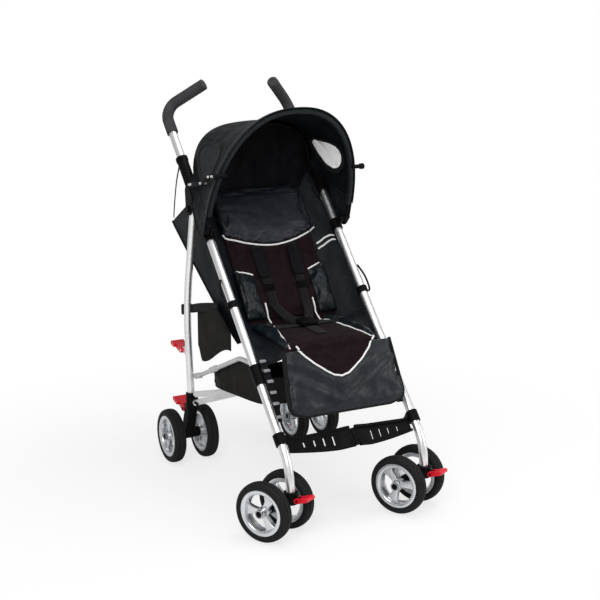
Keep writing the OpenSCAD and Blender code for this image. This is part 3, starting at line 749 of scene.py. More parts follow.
class Workshop:
    """Makes the pieces' objects and ties them to the frame's bodies."""

    def __init__(self, frame: Frame) -> None:
        """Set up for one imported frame.
        """
        self.frame = frame
        self.skeleton = Skeleton.of(frame)
        self.joints = {j["name"]: j for j in frame["joints"]}
        self.count = 0

    def piece(self, name: str, bm: Mesh, finish: Finish, sharp: float = 40.0) -> Piece:
        """Turn a shape into an object at the origin.

        Args:
            name: The piece's name.
            bm: Its shape, which is used up.
            finish: Its finish.
            sharp: Angle in degrees past which an edge stays sharp.

        Returns:
            The object.
        """
        mesh = bpy.data.meshes.new(name)
        for face in bm.faces:
            face.smooth = True
        bm.to_mesh(mesh)
        bm.free()
        mesh.set_sharp_from_angle(angle=math.radians(sharp))
        mesh.materials.append(finish.material)
        obj = bpy.data.objects.new(name, mesh)
        bpy.context.scene.collection.objects.link(obj)
        self.count += 1
        return obj

    def thicken(self, obj: Piece, thick: float) -> Piece:
        """Give a one-layer sheet its thickness in millimetres, half of it to each side."""
        solid = obj.modifiers.new("thickness", "SOLIDIFY")
        solid.thickness = thick * MM
        solid.offset = 0.0
        return obj

    def cloth(self, name: str, bm: Mesh, finish: Finish, thick: float) -> Piece:
        """A sheet of cloth of that thickness in millimetres."""
        return self.thicken(self.piece(name, bm, finish, SOFT_EDGE), thick)

    def finer(self, obj: Piece) -> Piece:
        """Round a piece with a subdivision surface."""
        sub = obj.modifiers.new("finer", "SUBSURF")
        sub.levels = sub.render_levels = 1
        return obj

    def ride(self, obj: Piece, body: str, slot: str, *nodes: str) -> Piece:
        """Put a piece on its body.

        Args:
            obj: The piece.
            body: The body that carries it.
            slot: The record's material slot; not used.
            nodes: The CAD nodes that it stands for.

        Returns:
            The piece.
        """
        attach(obj, body)
        if nodes:
            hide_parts(*nodes)
        LOG.info("%s on %s", obj.name, body)
        return obj

    def gather(self, obj: Piece) -> Piece:
        """Give a soft piece its own copy of its mesh."""
        edge = self.skeleton.at(-self.skeleton.half, 0.0, 0.0)
        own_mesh(obj)
        return obj

    def follow(self, obj: Piece, body: str, weight: Weight) -> Piece:
        """Hook part of a soft piece to a second body.

        Args:
            obj: The piece.
            body: The body that it follows.
            weight: How far each point, in the stroller's millimetres, follows it.

        Returns:
            The piece.
        """
        group = obj.vertex_groups.new(name=body)
        for vert in obj.data.vertices:
            share = weight(self.skeleton.local(vert.co))
            if share > 0.0:
                group.add([vert.index], share, "REPLACE")
        hook = obj.modifiers.new(body, "HOOK")
        hook.object = self.frame["bodies"][body]
        hook.vertex_group = group.name
        hook.falloff_type = "NONE"
        hook.matrix_inverse = Matrix.Identity(4)
        while obj.modifiers[0] != hook:
            obj.modifiers.move(obj.modifiers.find(hook.name), 0)
            hook = obj.modifiers[body]
        return obj

    def dress(self, obj: Piece, body: str, slot: str, *nodes: str,
              tied: Optional[tuple[str, Weight]] = None) -> Piece:
        """Put a piece on its body, hook it to a second body where one is given, and give it its own mesh.

        Args:
            obj: The piece.
            body: The body that carries it.
            slot: The record's material slot; not used.
            nodes: The CAD nodes that it stands for.
            tied: A second body that it follows, and how far each point does.

        Returns:
            The piece.
        """
        self.ride(obj, body, slot, *nodes)
        if tied:
            self.follow(obj, *tied)
        return self.gather(obj)

    def cushion(self, name: str, bm: Mesh, finish: Finish, swell: float, voxel: float = 5.0,
                pressure: float = 4.0) -> Piece:
        """Make a closed form and fill it with Blender's cloth pressure.

        No point sinks below the form, so that its sewn outline holds.

        Args:
            name: The piece's name.
            bm: The form, which is used up.
            finish: Its finish.
            swell: Most that a point may move, in millimetres.
            voxel: Mesh size in millimetres.
            pressure: Pressure of the filling.

        Returns:
            The stuffed form, with no modifier left.
        """
        obj = self.piece(name, bm, finish, SOFT_EDGE)
        remesh = obj.modifiers.new("remesh", "REMESH")
        remesh.mode = "VOXEL"
        remesh.voxel_size = voxel * MM
        remesh.use_smooth_shade = True
        fine = bpy.data.meshes.new_from_object(obj.evaluated_get(bpy.context.evaluated_depsgraph_get()))
        obj.modifiers.remove(remesh)
        old, obj.data = obj.data, fine
        bpy.data.meshes.remove(old)
        fine.name = obj.name
        start = [(v.co.copy(), v.normal.copy()) for v in fine.vertices]
        cloth = obj.modifiers.new("cloth", "CLOTH")
        cloth.settings.use_pressure = True
        cloth.settings.uniform_pressure_force = pressure
        cloth.settings.tension_stiffness = CLOTH_STRETCH
        cloth.settings.compression_stiffness = CLOTH_STRETCH
        cloth.settings.bending_stiffness = CLOTH_BENDING
        cloth.settings.effector_weights.gravity = 0.0
        cloth.point_cache.frame_end = CLOTH_FRAMES
        for step in range(1, CLOTH_FRAMES + 1):
            bpy.context.scene.frame_set(step)
        bpy.context.view_layer.update()
        blown = obj.evaluated_get(bpy.context.evaluated_depsgraph_get()).data
        ends = [v.co.copy() for v in blown.vertices]
        obj.modifiers.remove(cloth)
        for vert, (a, normal), b in zip(fine.vertices, start, ends):
            move = b - a
            move -= normal * min(0.0, move.dot(normal))
            if move.length > swell * MM:
                move *= swell * MM / move.length
            vert.co = a + move
        bpy.context.scene.frame_set(1)
        fine.update()
        return obj

    def press(self, obj: Piece, depth: Callable[[Vector, Vector], float]) -> Piece:
        """Sew seams and creases into a stuffed form by moving its points along their normals.

        Args:
            obj: The form.
            depth: Move in millimetres for each point and normal of the frame.

        Returns:
            The form.
        """
        moves = [(v.index, v.normal.copy() * depth(v.co, v.normal) * MM) for v in obj.data.vertices]
        for index, move in moves:
            obj.data.vertices[index].co += move
        obj.data.update()
        return obj

    def laid(self, points: Iterable[Vector], into: Vector, lift: float, *under: Piece) -> list[Vector]:
        """Lay points on the nearest of some pieces.

        Args:
            points: The points, near the pieces.
            into: Direction from the open side into the pieces.
            lift: Height over the surface in millimetres.
            under: The pieces.

        Returns:
            The points on the surface, or as they were where they miss it.
        """
        graph = bpy.context.evaluated_depsgraph_get()
        trees = [BVHTree.FromObject(obj, graph) for obj in under]
        done = []
        for spot in points:
            start = spot - into * CAST_FROM
            hits = [tree.ray_cast(start, into, CAST_REACH) for tree in trees]
            near = min((hit for hit in hits if hit[0] is not None), key=lambda hit: hit[3], default=None)
            done.append(spot if near is None else near[0] - into * lift * MM)
        return done

    def ribbon(self, line: Sequence[Vector], normals: Sequence[Vector], width: Callable[[float], float],
               across: int = 4) -> Mesh:
        """A flat band along a line.

        Args:
            line: Its middle line.
            normals: The way that its face looks at each point.
            width: Its width in millimetres at each share of its length.
            across: Faces across it.

        Returns:
            The band, one layer thick.
        """
        last = len(line) - 1

        def shape(u: float, v: float) -> Vector:
            i = min(last, int(round(v * last)))
            way = line[min(last, i + 1)] - line[max(0, i - 1)]
            side = way.cross(normals[i]).normalized()
            return line[i] + side * (u - 0.5) * width(v) * MM

        length = sum((b - a).length for a, b in zip(line, line[1:]))
        return grid(shape, across, last, (width(0.5) * MM, length))


@dataclass
class Studio:
    """Floor, light and camera.

    Attributes:
        shop: The workshop.
        eye: Camera place in the stroller's millimetres.
        azimuth: Turn of the camera in degrees.
        elevation: Height of the view in degrees.
        lens: Focal length on a 36 mm sensor.
        sky: Strength of the surrounding light.
        aim: What the lamps look at.
        lamps: Each lamp's name, place, width in metres and power in watts.
    """

    shop: Workshop
    eye: Triple = (-1527.0, -2928.0, 1295.0)
    azimuth: float = -27.76
    elevation: float = 13.58
    lens: float = 78.1
    sky: float = 0.5
    aim: Triple = (0.0, 0.0, 480.0)
    lamps: tuple[tuple[str, Triple, float, float], ...] = (
        ("key_light", (-1500.0, -1900.0, 2300.0), 1.2, 42.0),
        ("top_light", (500.0, -300.0, 2900.0), 1.6, 30.0),
        ("side_light", (2000.0, -1500.0, 1200.0), 1.0, 17.0),
    )

    def build(self) -> None:
        """Make the camera, the floor, the surround and the lamps."""
        self.camera()
        self.floor()
        self.surround()
        for lamp in self.lamps:
            self.lamp(*lamp)

    def camera(self) -> None:
        """Stand the camera where the photograph was taken."""
        lens = bpy.data.cameras.new("camera")
        lens.lens, lens.sensor_width = self.lens, 36.0
        lens.clip_end = 200.0
        holder = bpy.data.objects.new("camera", lens)
        holder.location = self.shop.skeleton.at(*self.eye)
        holder.rotation_euler = (math.radians(90.0 - self.elevation), 0.0, math.radians(self.azimuth))
        bpy.context.scene.collection.objects.link(holder)
        bpy.context.scene.camera = holder

    def floor(self) -> None:
        """Lay a pale floor that keeps the shadow and fades to white far out."""
        bm = bmesh.new()
        bmesh.ops.create_grid(bm, x_segments=8, y_segments=8, size=60.0)
        shader = Shader("floor")
        where = shader.coordinates(False)
        far = shader.add("VectorMath", {0: where}, operation="LENGTH").outputs["Value"]
        shader.set(Base_Color=(0.86, 0.86, 0.86, 1.0), Roughness=0.9, Specular_IOR_Level=0.1)
        fade = shader.add(
            "MapRange", {0: far, 1: 0.5, 2: 1.3, 3: 0.72}, interpolation_type="SMOOTHSTEP").outputs[0]
        seen = shader.add("LightPath").outputs["Is Camera Ray"]
        share = shader.add("Math", {0: fade, 1: seen}, operation="MULTIPLY").outputs[0]
        glow = shader.add("Emission", {"Color": (1, 1, 1, 1), "Strength": 1.0}).outputs[0]
        blend = shader.add("MixShader", {0: share, 1: shader.surface.outputs[0], 2: glow}).outputs[0]
        out = next(n for n in shader.tree.nodes if n.type == "OUTPUT_MATERIAL")
        shader.tree.links.new(blend, out.inputs["Surface"])
        mesh = bpy.data.meshes.new("floor")
        bm.to_mesh(mesh)
        bm.free()
        mesh.materials.append(shader.material)
        obj = bpy.data.objects.new("floor", mesh)
        bpy.context.scene.collection.objects.link(obj)

    def surround(self) -> None:
        """Light from all round, white where the camera sees it."""
        world = bpy.data.worlds.new("surround")
        bpy.context.scene.world = world
        world.use_nodes = True
        tree = world.node_tree
        tree.nodes.clear()
        path = tree.nodes.new("ShaderNodeLightPath").outputs
        seen = tree.nodes.new("ShaderNodeMath")
        seen.operation = "MAXIMUM"
        strength = tree.nodes.new("ShaderNodeMapRange")
        light = tree.nodes.new("ShaderNodeBackground")
        light.inputs["Color"].default_value = (1.0, 1.0, 1.0, 1.0)
        out = tree.nodes.new("ShaderNodeOutputWorld")
        tree.links.new(path["Is Camera Ray"], seen.inputs[0])
        tree.links.new(path["Is Transmission Ray"], seen.inputs[1])
        tree.links.new(seen.outputs[0], strength.inputs[0])
        strength.inputs[3].default_value = self.sky
        strength.inputs[4].default_value = 1.0
        tree.links.new(strength.outputs[0], light.inputs["Strength"])
        tree.links.new(light.outputs[0], out.inputs["Surface"])
        bpy.context.scene.view_settings.view_transform = "Standard"

    def lamp(self, name: str, spot: Triple, size: float, power: float) -> None:
        """Hang a soft square lamp that looks at the seat.

        Args:
            name: The lamp's name.
            spot: Its place in the stroller's millimetres.
            size: Its width in metres.
            power: Its power in watts.
        """
        light = bpy.data.lights.new(name, "AREA")
        light.size, light.energy = size, power
        holder = bpy.data.objects.new(name, light)
        holder.location = self.shop.skeleton.at(*spot)
        aim = self.shop.skeleton.at(*self.aim) - holder.location
        holder.rotation_euler = aim.to_track_quat("-Z", "Y").to_euler()
        bpy.context.scene.collection.objects.link(holder)


@dataclass
class Wheels:
    """The eight twin wheels.

    Attributes:
        shop: The workshop.
        tread: Tyre profile, half of it, from the rim to the crown.
        lip: Rim profile, half of it, from the tyre to the middle of the barrel.
        spokes: How many spokes a rim has.
        turns: Angle in degrees of the outer wheel's first spoke, by corner.
        inner_turn: How much further an inner wheel is turned.
    """

    shop: Workshop
    tread: Profile = (
        (-13.0, 57.6), (-15.6, 58.6), (-16.8, 61.5), (-16.9, 65.0), (-16.0, 68.6), (-13.8, 71.6),
        (-10.8, 73.4), (-7.6, 74.3), (-7.2, 73.2), (-5.4, 73.2), (-5.0, 74.7), (-2.0, 75.0),
    )
    lip: Profile = (
        (-12.6, 57.8), (-15.0, 57.2), (-15.8, 55.4), (-15.2, 50.2), (-13.6, 47.2), (-11.0, 46.0),
        (-3.0, 44.8),
    )
    spokes: int = 3
    turns: dict = field(default_factory=lambda: {"fr": 90.0, "fl": 106.0, "rr": 40.0, "rl": 75.0})
    inner_turn: float = 33.0

    def build(self) -> None:
        """Make every wheel on its own body."""
        for corner, turn in self.turns.items():
            for row, further in (("out", 0.0), ("in", self.inner_turn)):
                key = f"{corner}_{row}"
                joint = self.shop.joints[f"wheel_{key}_spin"]
                place = facing(Vector(joint["axis"]), Vector(joint["pos_m"]))
                self.wheel(key, place, turn + further)

    def wheel(self, key: str, place: Matrix, turn: float) -> None:
        """One wheel: tyre, rim with its spokes, and axle cap.

        Args:
            key: Corner and side, as in fr_out.
            place: The axle's place.
            turn: Angle of the first spoke in degrees.
        """
        body = f"wheel_{key}"
        tyre = self.shop.piece(f"tyre_ring_{key}", spun(both(self.tread), place, 96, True), Finish.TYRE, 50.0)
        self.shop.ride(tyre, body, "tyre", f"tyre_{key}")
        rim = self.shop.piece(
            f"wheel_rim_{key}",
            joined(spun(both(self.lip), place, 72, True), self.hub(place), *self.arms(place, turn)),
            Finish.RIM_PLASTIC,
        )
        self.shop.ride(rim, body, "rim_plastic", f"rim_{key}")
        self.cap(key, place)

    def cap(self, key: str, place: Matrix) -> None:
        """The domed black cap on the axle's end beside a wheel."""
        corner, row = key.split("_")
        side = Side.RIGHT if corner[1] == "r" else Side.LEFT
        away = side.value * (1 if row == "out" else -1) * math.copysign(1, place.col[0].x)
        turned = place @ Matrix.Rotation(0.0 if away > 0 else math.pi, 4, "Z")
        dome = spun(((16.6, 8.2), (21.4, 8.2), (22.4, 7.2), (23.0, 4.5), (23.2, 0.0)), turned, 32)
        obj = self.shop.piece(f"axle_cap_{key}", dome, Finish.BLACK_PLASTIC)
        body = f"{'caster' if corner[0] == 'f' else 'rear'}_{side.label}"
        self.shop.ride(obj, body, "black_plastic")

    def hub(self, place: Matrix) -> Mesh:
        """The hub, with a collar at each end and a bore for the axle."""
        half = ((-16.0, 5.1), (-16.0, 11.0), (-15.0, 12.2), (-9.0, 13.2), (-6.0, 14.2))
        return spun(both(half), place, 40, True)

    def arms(self, place: Matrix, turn: float) -> list[Mesh]:
        """The broad spokes, flared towards the rim.

        Args:
            place: The axle's place.
            turn: Angle of the first spoke in degrees.

        Returns:
            One shape for each spoke.
        """
        side = ((10.0, 7.2), (20.0, 7.6), (30.0, 9.2), (39.0, 12.0), (45.6, 16.5))
        outline = [(y, -w) for y, w in side] + [(y, w) for y, w in reversed(side)]
        arms = []
        for i in range(self.spokes):
            angle = math.radians(turn - 90.0 + 360.0 / self.spokes * i)
            arms.append(plate(outline, 13.0, 1.6, place @ Matrix.Rotation(angle, 4, "X")))
        return arms


@dataclass
class TubeFrame:
    """The aluminium tubes, foam grips, plastic fittings and red levers.

    Attributes:
        shop: The workshop.
        corner_d: Place of the grip's corner along the long tube.
        leg_bend: Radius of the bend at the foot.
        rear_lean: Lean in degrees of a rear leg at its joint.
        rear_arc: How far in degrees its bend turns.
        rear_bend: Radius of its bend.
        rear_upper: Length of its straight above the bend.
        rear_lower: Length of its straight below the bend.
        rear_r: Radius of the rear legs.
        lever_drop: Place of the fold lever's ear below the bend.
        grip_bend: Radius of the grip's bend.
        grip_len: Length of the grip past its corner.
        grip_r: Radius of the foam.
        grip_turn: How far in degrees the grip points forward from straight in.
        hinge: Place (y, z) of the rear leg's hinge.
        link_x: Sideways place of the side links.
        link_end: Sideways place of their rear bosses.
        foot_d: Place of the footrest along the long tube.
        tread: Depth of the footrest's tread.
        leaf_tip: Tip of a footrest leaf in degrees.
        leaf_swing: Swing of a footrest leaf in degrees.
        plastics: CAD nodes of black plastic that are kept.
        steels: CAD nodes of steel that are kept.
        reds: CAD nodes of red plastic that are kept.
    """

    shop: Workshop
    corner_d: float = 1031.0
    leg_bend: float = 140.0
    rear_lean: float = 12.0
    rear_arc: float = 16.5
    rear_bend: float = 660.0
    rear_upper: float = 196.0
    rear_lower: float = 176.0
    rear_r: float = 10.0
    lever_drop: float = 28.0
    grip_bend: float = 40.0
    grip_len: float = 135.0
    grip_r: float = 15.5
    grip_turn: float = 50.0
    hinge: tuple[float, float] = (214.55, 721.49)
    link_x: float = 166.0
    link_end: float = 170.6
    foot_d: float = 24.0
    tread: float = 44.0
    leaf_tip: float = 84.0
    leaf_swing: float = 4.0
    plastics: tuple[str, ...] = (
        "joint_housing_right", "joint_housing_left", "hood_clip_right", "hood_clip_left", "leg_collar_right",
        "leg_collar_left", "rear_bracket_right", "rear_bracket_left", "caster_fork_right", "caster_fork_left",
    )
    steels: tuple[str, ...] = ("rear_axle_right", "rear_axle_left", "caster_axle_right", "caster_axle_left")
    reds: tuple[str, ...] = (
        "brake_pedal_right", "brake_pedal_left", "fold_lever", "swivel_lock_right", "swivel_lock_left",
    )

    def build(self) -> None:
        """Make the tubes of both sides and dress the fittings."""
        for side in Side:
            self.long_tube(side)
            self.rear_leg(side)
            self.grip(side)
            self.link(side)
            self.clamp(side)
            self.footrest(side)
        self.paint(self.plastics, Finish.BLACK_PLASTIC)
        self.paint(self.reds, Finish.RED_PLASTIC)
        self.paint(self.steels, Finish.STEEL)
        self.paint(("brace_a", "brace_b"), Finish.LEG_ALUMINIUM)

    def paint(self, nodes: Iterable[str], finish: Finish) -> None:
        """Give CAD nodes a finish."""
        for name in nodes:
            mesh = self.shop.frame["nodes"][name].data
            mesh.materials.clear()
            mesh.materials.append(finish.material)

    def long_tube(self, side: Side) -> None:
        """One long tube from its foot, round the bend, up into the grip."""
        sk = self.shop.skeleton
        x = side.value * sk.half
        y, z = sk.foot
        path = [sk.at(x, y, z)]
        for i in range(1, 13):
            a = math.radians((90.0 - sk.slope) * i / 12)
            path.append(sk.at(x, y + self.leg_bend * (1 - math.cos(a)), z + self.leg_bend * math.sin(a)))
        path += [sk.tube(x, d) for d in (60.0, 400.0, 800.0, self.corner_d - 48.0)]
        obj = self.shop.piece(f"long_tube_{side.label}", rod(path, sk.tube_r * MM, 24), Finish.ALUMINIUM)
        nodes = (f"front_leg_{side.label}", f"push_tube_{side.label}")
        self.shop.ride(obj, f"frame_{side.label}", "aluminium", *nodes)

    def rear_leg(self, side: Side) -> None:
        """One bent rear leg, from the joint down to the wheel bracket."""
        sk = self.shop.skeleton
        x = side.value * sk.rear_x
        y, z = self.hinge
        path = [sk.at(x, y, z)]

        def step(angle: float, length: float) -> None:
            nonlocal y, z
            y += length * math.sin(math.radians(angle))
            z -= length * math.cos(math.radians(angle))
            path.append(sk.at(x, y, z))

        step(self.rear_lean, self.rear_upper)
        for i in range(16):
            turned = self.rear_arc * (i + 0.5) / 16
            step(self.rear_lean - turned, self.rear_bend * math.radians(self.rear_arc) / 16)
        end = self.rear_lean - self.rear_arc
        ear_y = y + self.lever_drop * math.sin(math.radians(end))
        ear_z = z - self.lever_drop * math.cos(math.radians(end))
        step(end, self.rear_lower)
        barrel = drum(-10.2, 10.2, 5.1, 10.6, 0.6)
        parts = [rod(path, self.rear_r * MM, 24), spun(barrel, facing(ACROSS, path[0]), 40, True)]
        if side is Side.RIGHT:
            parts += self.lever_ear(x, ear_y, ear_z)
        obj = self.shop.piece(f"rear_tube_{side.label}", joined(*parts), Finish.LEG_ALUMINIUM)
        self.shop.ride(obj, f"rear_{side.label}", "aluminium", f"rear_leg_{side.label}")

    def lever_ear(self, x: float, y: float, z: float) -> list[Mesh]:
        """The ear on the right rear leg that carries the fold lever, with its pin.

        Args:
            x: Sideways place of the leg.
            y: Place of the ear's root along the stroller.
            z: Height of the ear's root.

        Returns:
            The ear and the pin.
        """
        sk = self.shop.skeleton
        root, reach, rise, round_r = -4.0, 32.0, 1.0, 9.0
        arc = [math.radians(180.0 * i / 12 - 90.0) for i in range(13)]
        nose = [(reach + round_r * math.cos(a), rise + round_r * math.sin(a)) for a in arc]
        outline = [(root, -round_r)] + nose + [(root, round_r)]
        return [
            plate(outline, 12.0, 1.0, Matrix.Translation(sk.at(x, y, z))),
            spun(drum(-13.0, 13.0, 0.0, 3.5, 0.6), facing(ACROSS, sk.at(x, y + reach, z + rise)), 24),
        ]

    def grip(self, side: Side) -> None:
        """One bent foam grip with a rounded, dimpled end."""
        sk = self.shop.skeleton
        x = side.value * sk.half
        corner = sk.tube(x, self.corner_d)
        along = sk.tube_way
        behind = (sk.tube(x, 0.0, 100.0) - sk.tube(x, 0.0)).normalized()
        turn = math.radians(self.grip_turn)
        out = Vector((-side.value, 0, 0)) * math.cos(turn) - behind * math.sin(turn)
        bend = self.grip_bend * MM
        path = [sk.tube(x, self.corner_d - 81.0), sk.tube(x, self.corner_d - 60.0)]
        for i in range(13):
            a = math.radians(90.0 * i / 12)
            path.append(corner + out * bend * (1 - math.cos(a)) - along * bend * (1 - math.sin(a)))
        end = self.grip_len * MM
        path += [corner + out * (end - 0.03), corner + out * (end - 0.002)]
        dimple = ((-3.0, 0.0), (-3.0, 5.0), (-1.6, 6.2), (-0.3, 8.0), (0.0, 11.0), (-0.6, 13.6), (-2.6, 15.2),
                  (-6.0, 15.55))
        cap = spun(dimple, facing(out, corner + out * end), 40)
        foam = joined(rod(path, self.grip_r * MM, 28), cap)
        obj = self.shop.piece(f"foam_grip_{side.label}", foam, Finish.FOAM)
        self.shop.ride(obj, f"frame_{side.label}", "foam", f"grip_{side.label}")

    def link(self, side: Side) -> None:
        """One pale side link from the long tube back to the rear leg."""
        sk = self.shop.skeleton
        x, end = side.value * self.link_x, side.value * self.link_end
        first, last = (-140.0, 372.0), (252.0, 248.0)
        points = [first, (-70.0, 367.7), (-28.0, 365.1), (-10.0, 362.9), (12.0, 354.3), (120.0, 306.4), last]
        bar = rod(eased([sk.at(x, *p) for p in points], 6), 6.0 * MM, 20)
        outer = x + side.value * 2.5
        sleeve = rod([sk.at(outer, *p) for p in ((134.0, 300.2), (168.0, 285.2))], 8.5 * MM, 20)
        eye = spun(drum(-6.0, 6.0, 4.1, 9.5, 0.8), facing(ACROSS, sk.at(x, *first)), 32, True)
        boss = spun(drum(-10.6, 10.6, 0.0, 8.0, 0.8), facing(ACROSS, sk.at(end, *last)), 32)
        obj = self.shop.piece(f"side_bar_{side.label}", joined(bar, sleeve, eye, boss), Finish.WHITE_PLASTIC)
        self.shop.ride(obj, f"side_link_{side.label}", "aluminium", f"side_link_{side.label}")

    def leaf_point(self, side: Side, x: float, deep: float, off: float = 0.0) -> Vector:
        """A point of a footrest leaf.

        Args:
            side: The leaf's side.
            x: Place along the leaf, from the tube to the middle.
            deep: Place down the tread from the tube's footrest height.
            off: Height over the middle of the tread.

        Returns:
            The point in the frame.
        """
        sk = self.shop.skeleton
        base = sk.tube(side.value * sk.half, self.foot_d)
        along = sk.tube(0.0, 1.0) - sk.tube(0.0, 0.0)
        behind = sk.tube(0.0, 0.0, 1.0) - sk.tube(0.0, 0.0)
        tip, swing = math.radians(self.leaf_tip), math.radians(self.leaf_swing)
        y = deep * math.cos(tip) + off * math.sin(tip)
        z = -deep * math.sin(tip) + off * math.cos(tip)
        inward = Vector((-side.value * MM, 0.0, 0.0))
        return (base + inward * (x * math.cos(swing) + y * math.sin(swing))
                + behind * (y * math.cos(swing) - x * math.sin(swing)) + along * z)

    def footrest(self, side: Side) -> None:
        """One leaf of the footrest: sleeve, slotted tread with ribbed edges, and half of the middle hinge."""
        sk = self.shop.skeleton
        arm = sk.half / math.cos(math.radians(self.leaf_swing))
        near, far = 15.0, arm - 7.6

        def low(x: float) -> float:
            return 6.0 + 0.6 * self.tread + 0.52 * self.tread * math.sin(math.pi / 2 * x / arm)

        def high(x: float) -> float:
            return mix(-9.0, 5.0, smooth((x - 13.0) / 16.0))

        def edge(x: float, deep: float) -> Vector:
            return self.leaf_point(side, x, deep, -(0.105 * deep + 4.6) * smooth((x - arm + 50.0) / 40.0))

        def shape(u: float, v: float) -> Vector:
            x = mix(near, far, u)
            return edge(x, mix(high(x), low(x), v))

        def slot(u: float, v: float) -> bool:
            x = mix(near, far, u)
            deep = mix(high(x), low(x), v)
            return any(abs(x - 56.5 - 26.0 * i) < 2.6 and 19.0 < deep < 31.0 + 4.0 * i for i in range(4))

        tread = grid(shape, 66, 24, (0.17, 0.05), slot)
        bmesh.ops.recalc_face_normals(tread, faces=tread.faces[:])
        bmesh.ops.solidify(tread, geom=tread.faces[:], thickness=5.0 * MM)
        lift = self.leaf_point(side, 0, 0, 2.5) - self.leaf_point(side, 0, 0)
        bmesh.ops.translate(tread, vec=lift, verts=tread.verts[:])
        steps = [near + (far - near) * i / 20 for i in range(21)]
        ribs = [
            rod([edge(x, high(x) + 1.0) for x in steps], 4.6 * MM, 12),
            rod([edge(x, low(x) - 1.0) for x in steps], 3.8 * MM, 12),
        ]
        way = sk.tube_way
        base = sk.tube(side.value * sk.half, self.foot_d)
        sleeve = drum(-16.0, 14.0, 11.1, 15.0, 0.8)
        foot = -53.0 if side is Side.RIGHT else -29.6
        head = -30.0 if side is Side.RIGHT else -9.6
        knuckle = drum(foot, head, 0.0, 7.0, 0.8, 0.6)
        pivot = self.leaf_point(side, arm, 0.0)
        parts = [spun(sleeve, facing(way, base), 40, True), spun(knuckle, facing(way, pivot), 32)]
        leaf = joined(tread, *ribs, *parts)
        obj = self.shop.piece(f"footrest_leaf_{side.label}", leaf, Finish.BLACK_PLASTIC, 35.0)
        self.shop.ride(obj, f"footrest_{side.label}", "black_plastic", f"footrest_{side.label}")

    def clamp(self, side: Side) -> None:
        """The black band and hook on the middle of one long tube."""
        sk = self.shop.skeleton
        x = side.value * sk.half
        band = spun(drum(-9.0, 9.0, 11.1, 14.2, 1.0, 0.8), facing(sk.tube_way, sk.tube(x, 402.0)), 40, True)
        bends = ((15.0, 396.0, -3.0), (21.0, 404.0, -4.0), (22.0, 440.0, -4.0), (15.0, 470.0, -4.0),
                 (11.5, 478.0, -4.0))
        hook = rod(eased([sk.tube(x + side.value * away, d, off) for away, d, off in bends], 6), 2.6 * MM, 12)
        obj = self.shop.piece(f"tube_hook_{side.label}", joined(band, hook), Finish.BLACK_PLASTIC)
        self.shop.ride(obj, f"frame_{side.label}", "black_plastic")


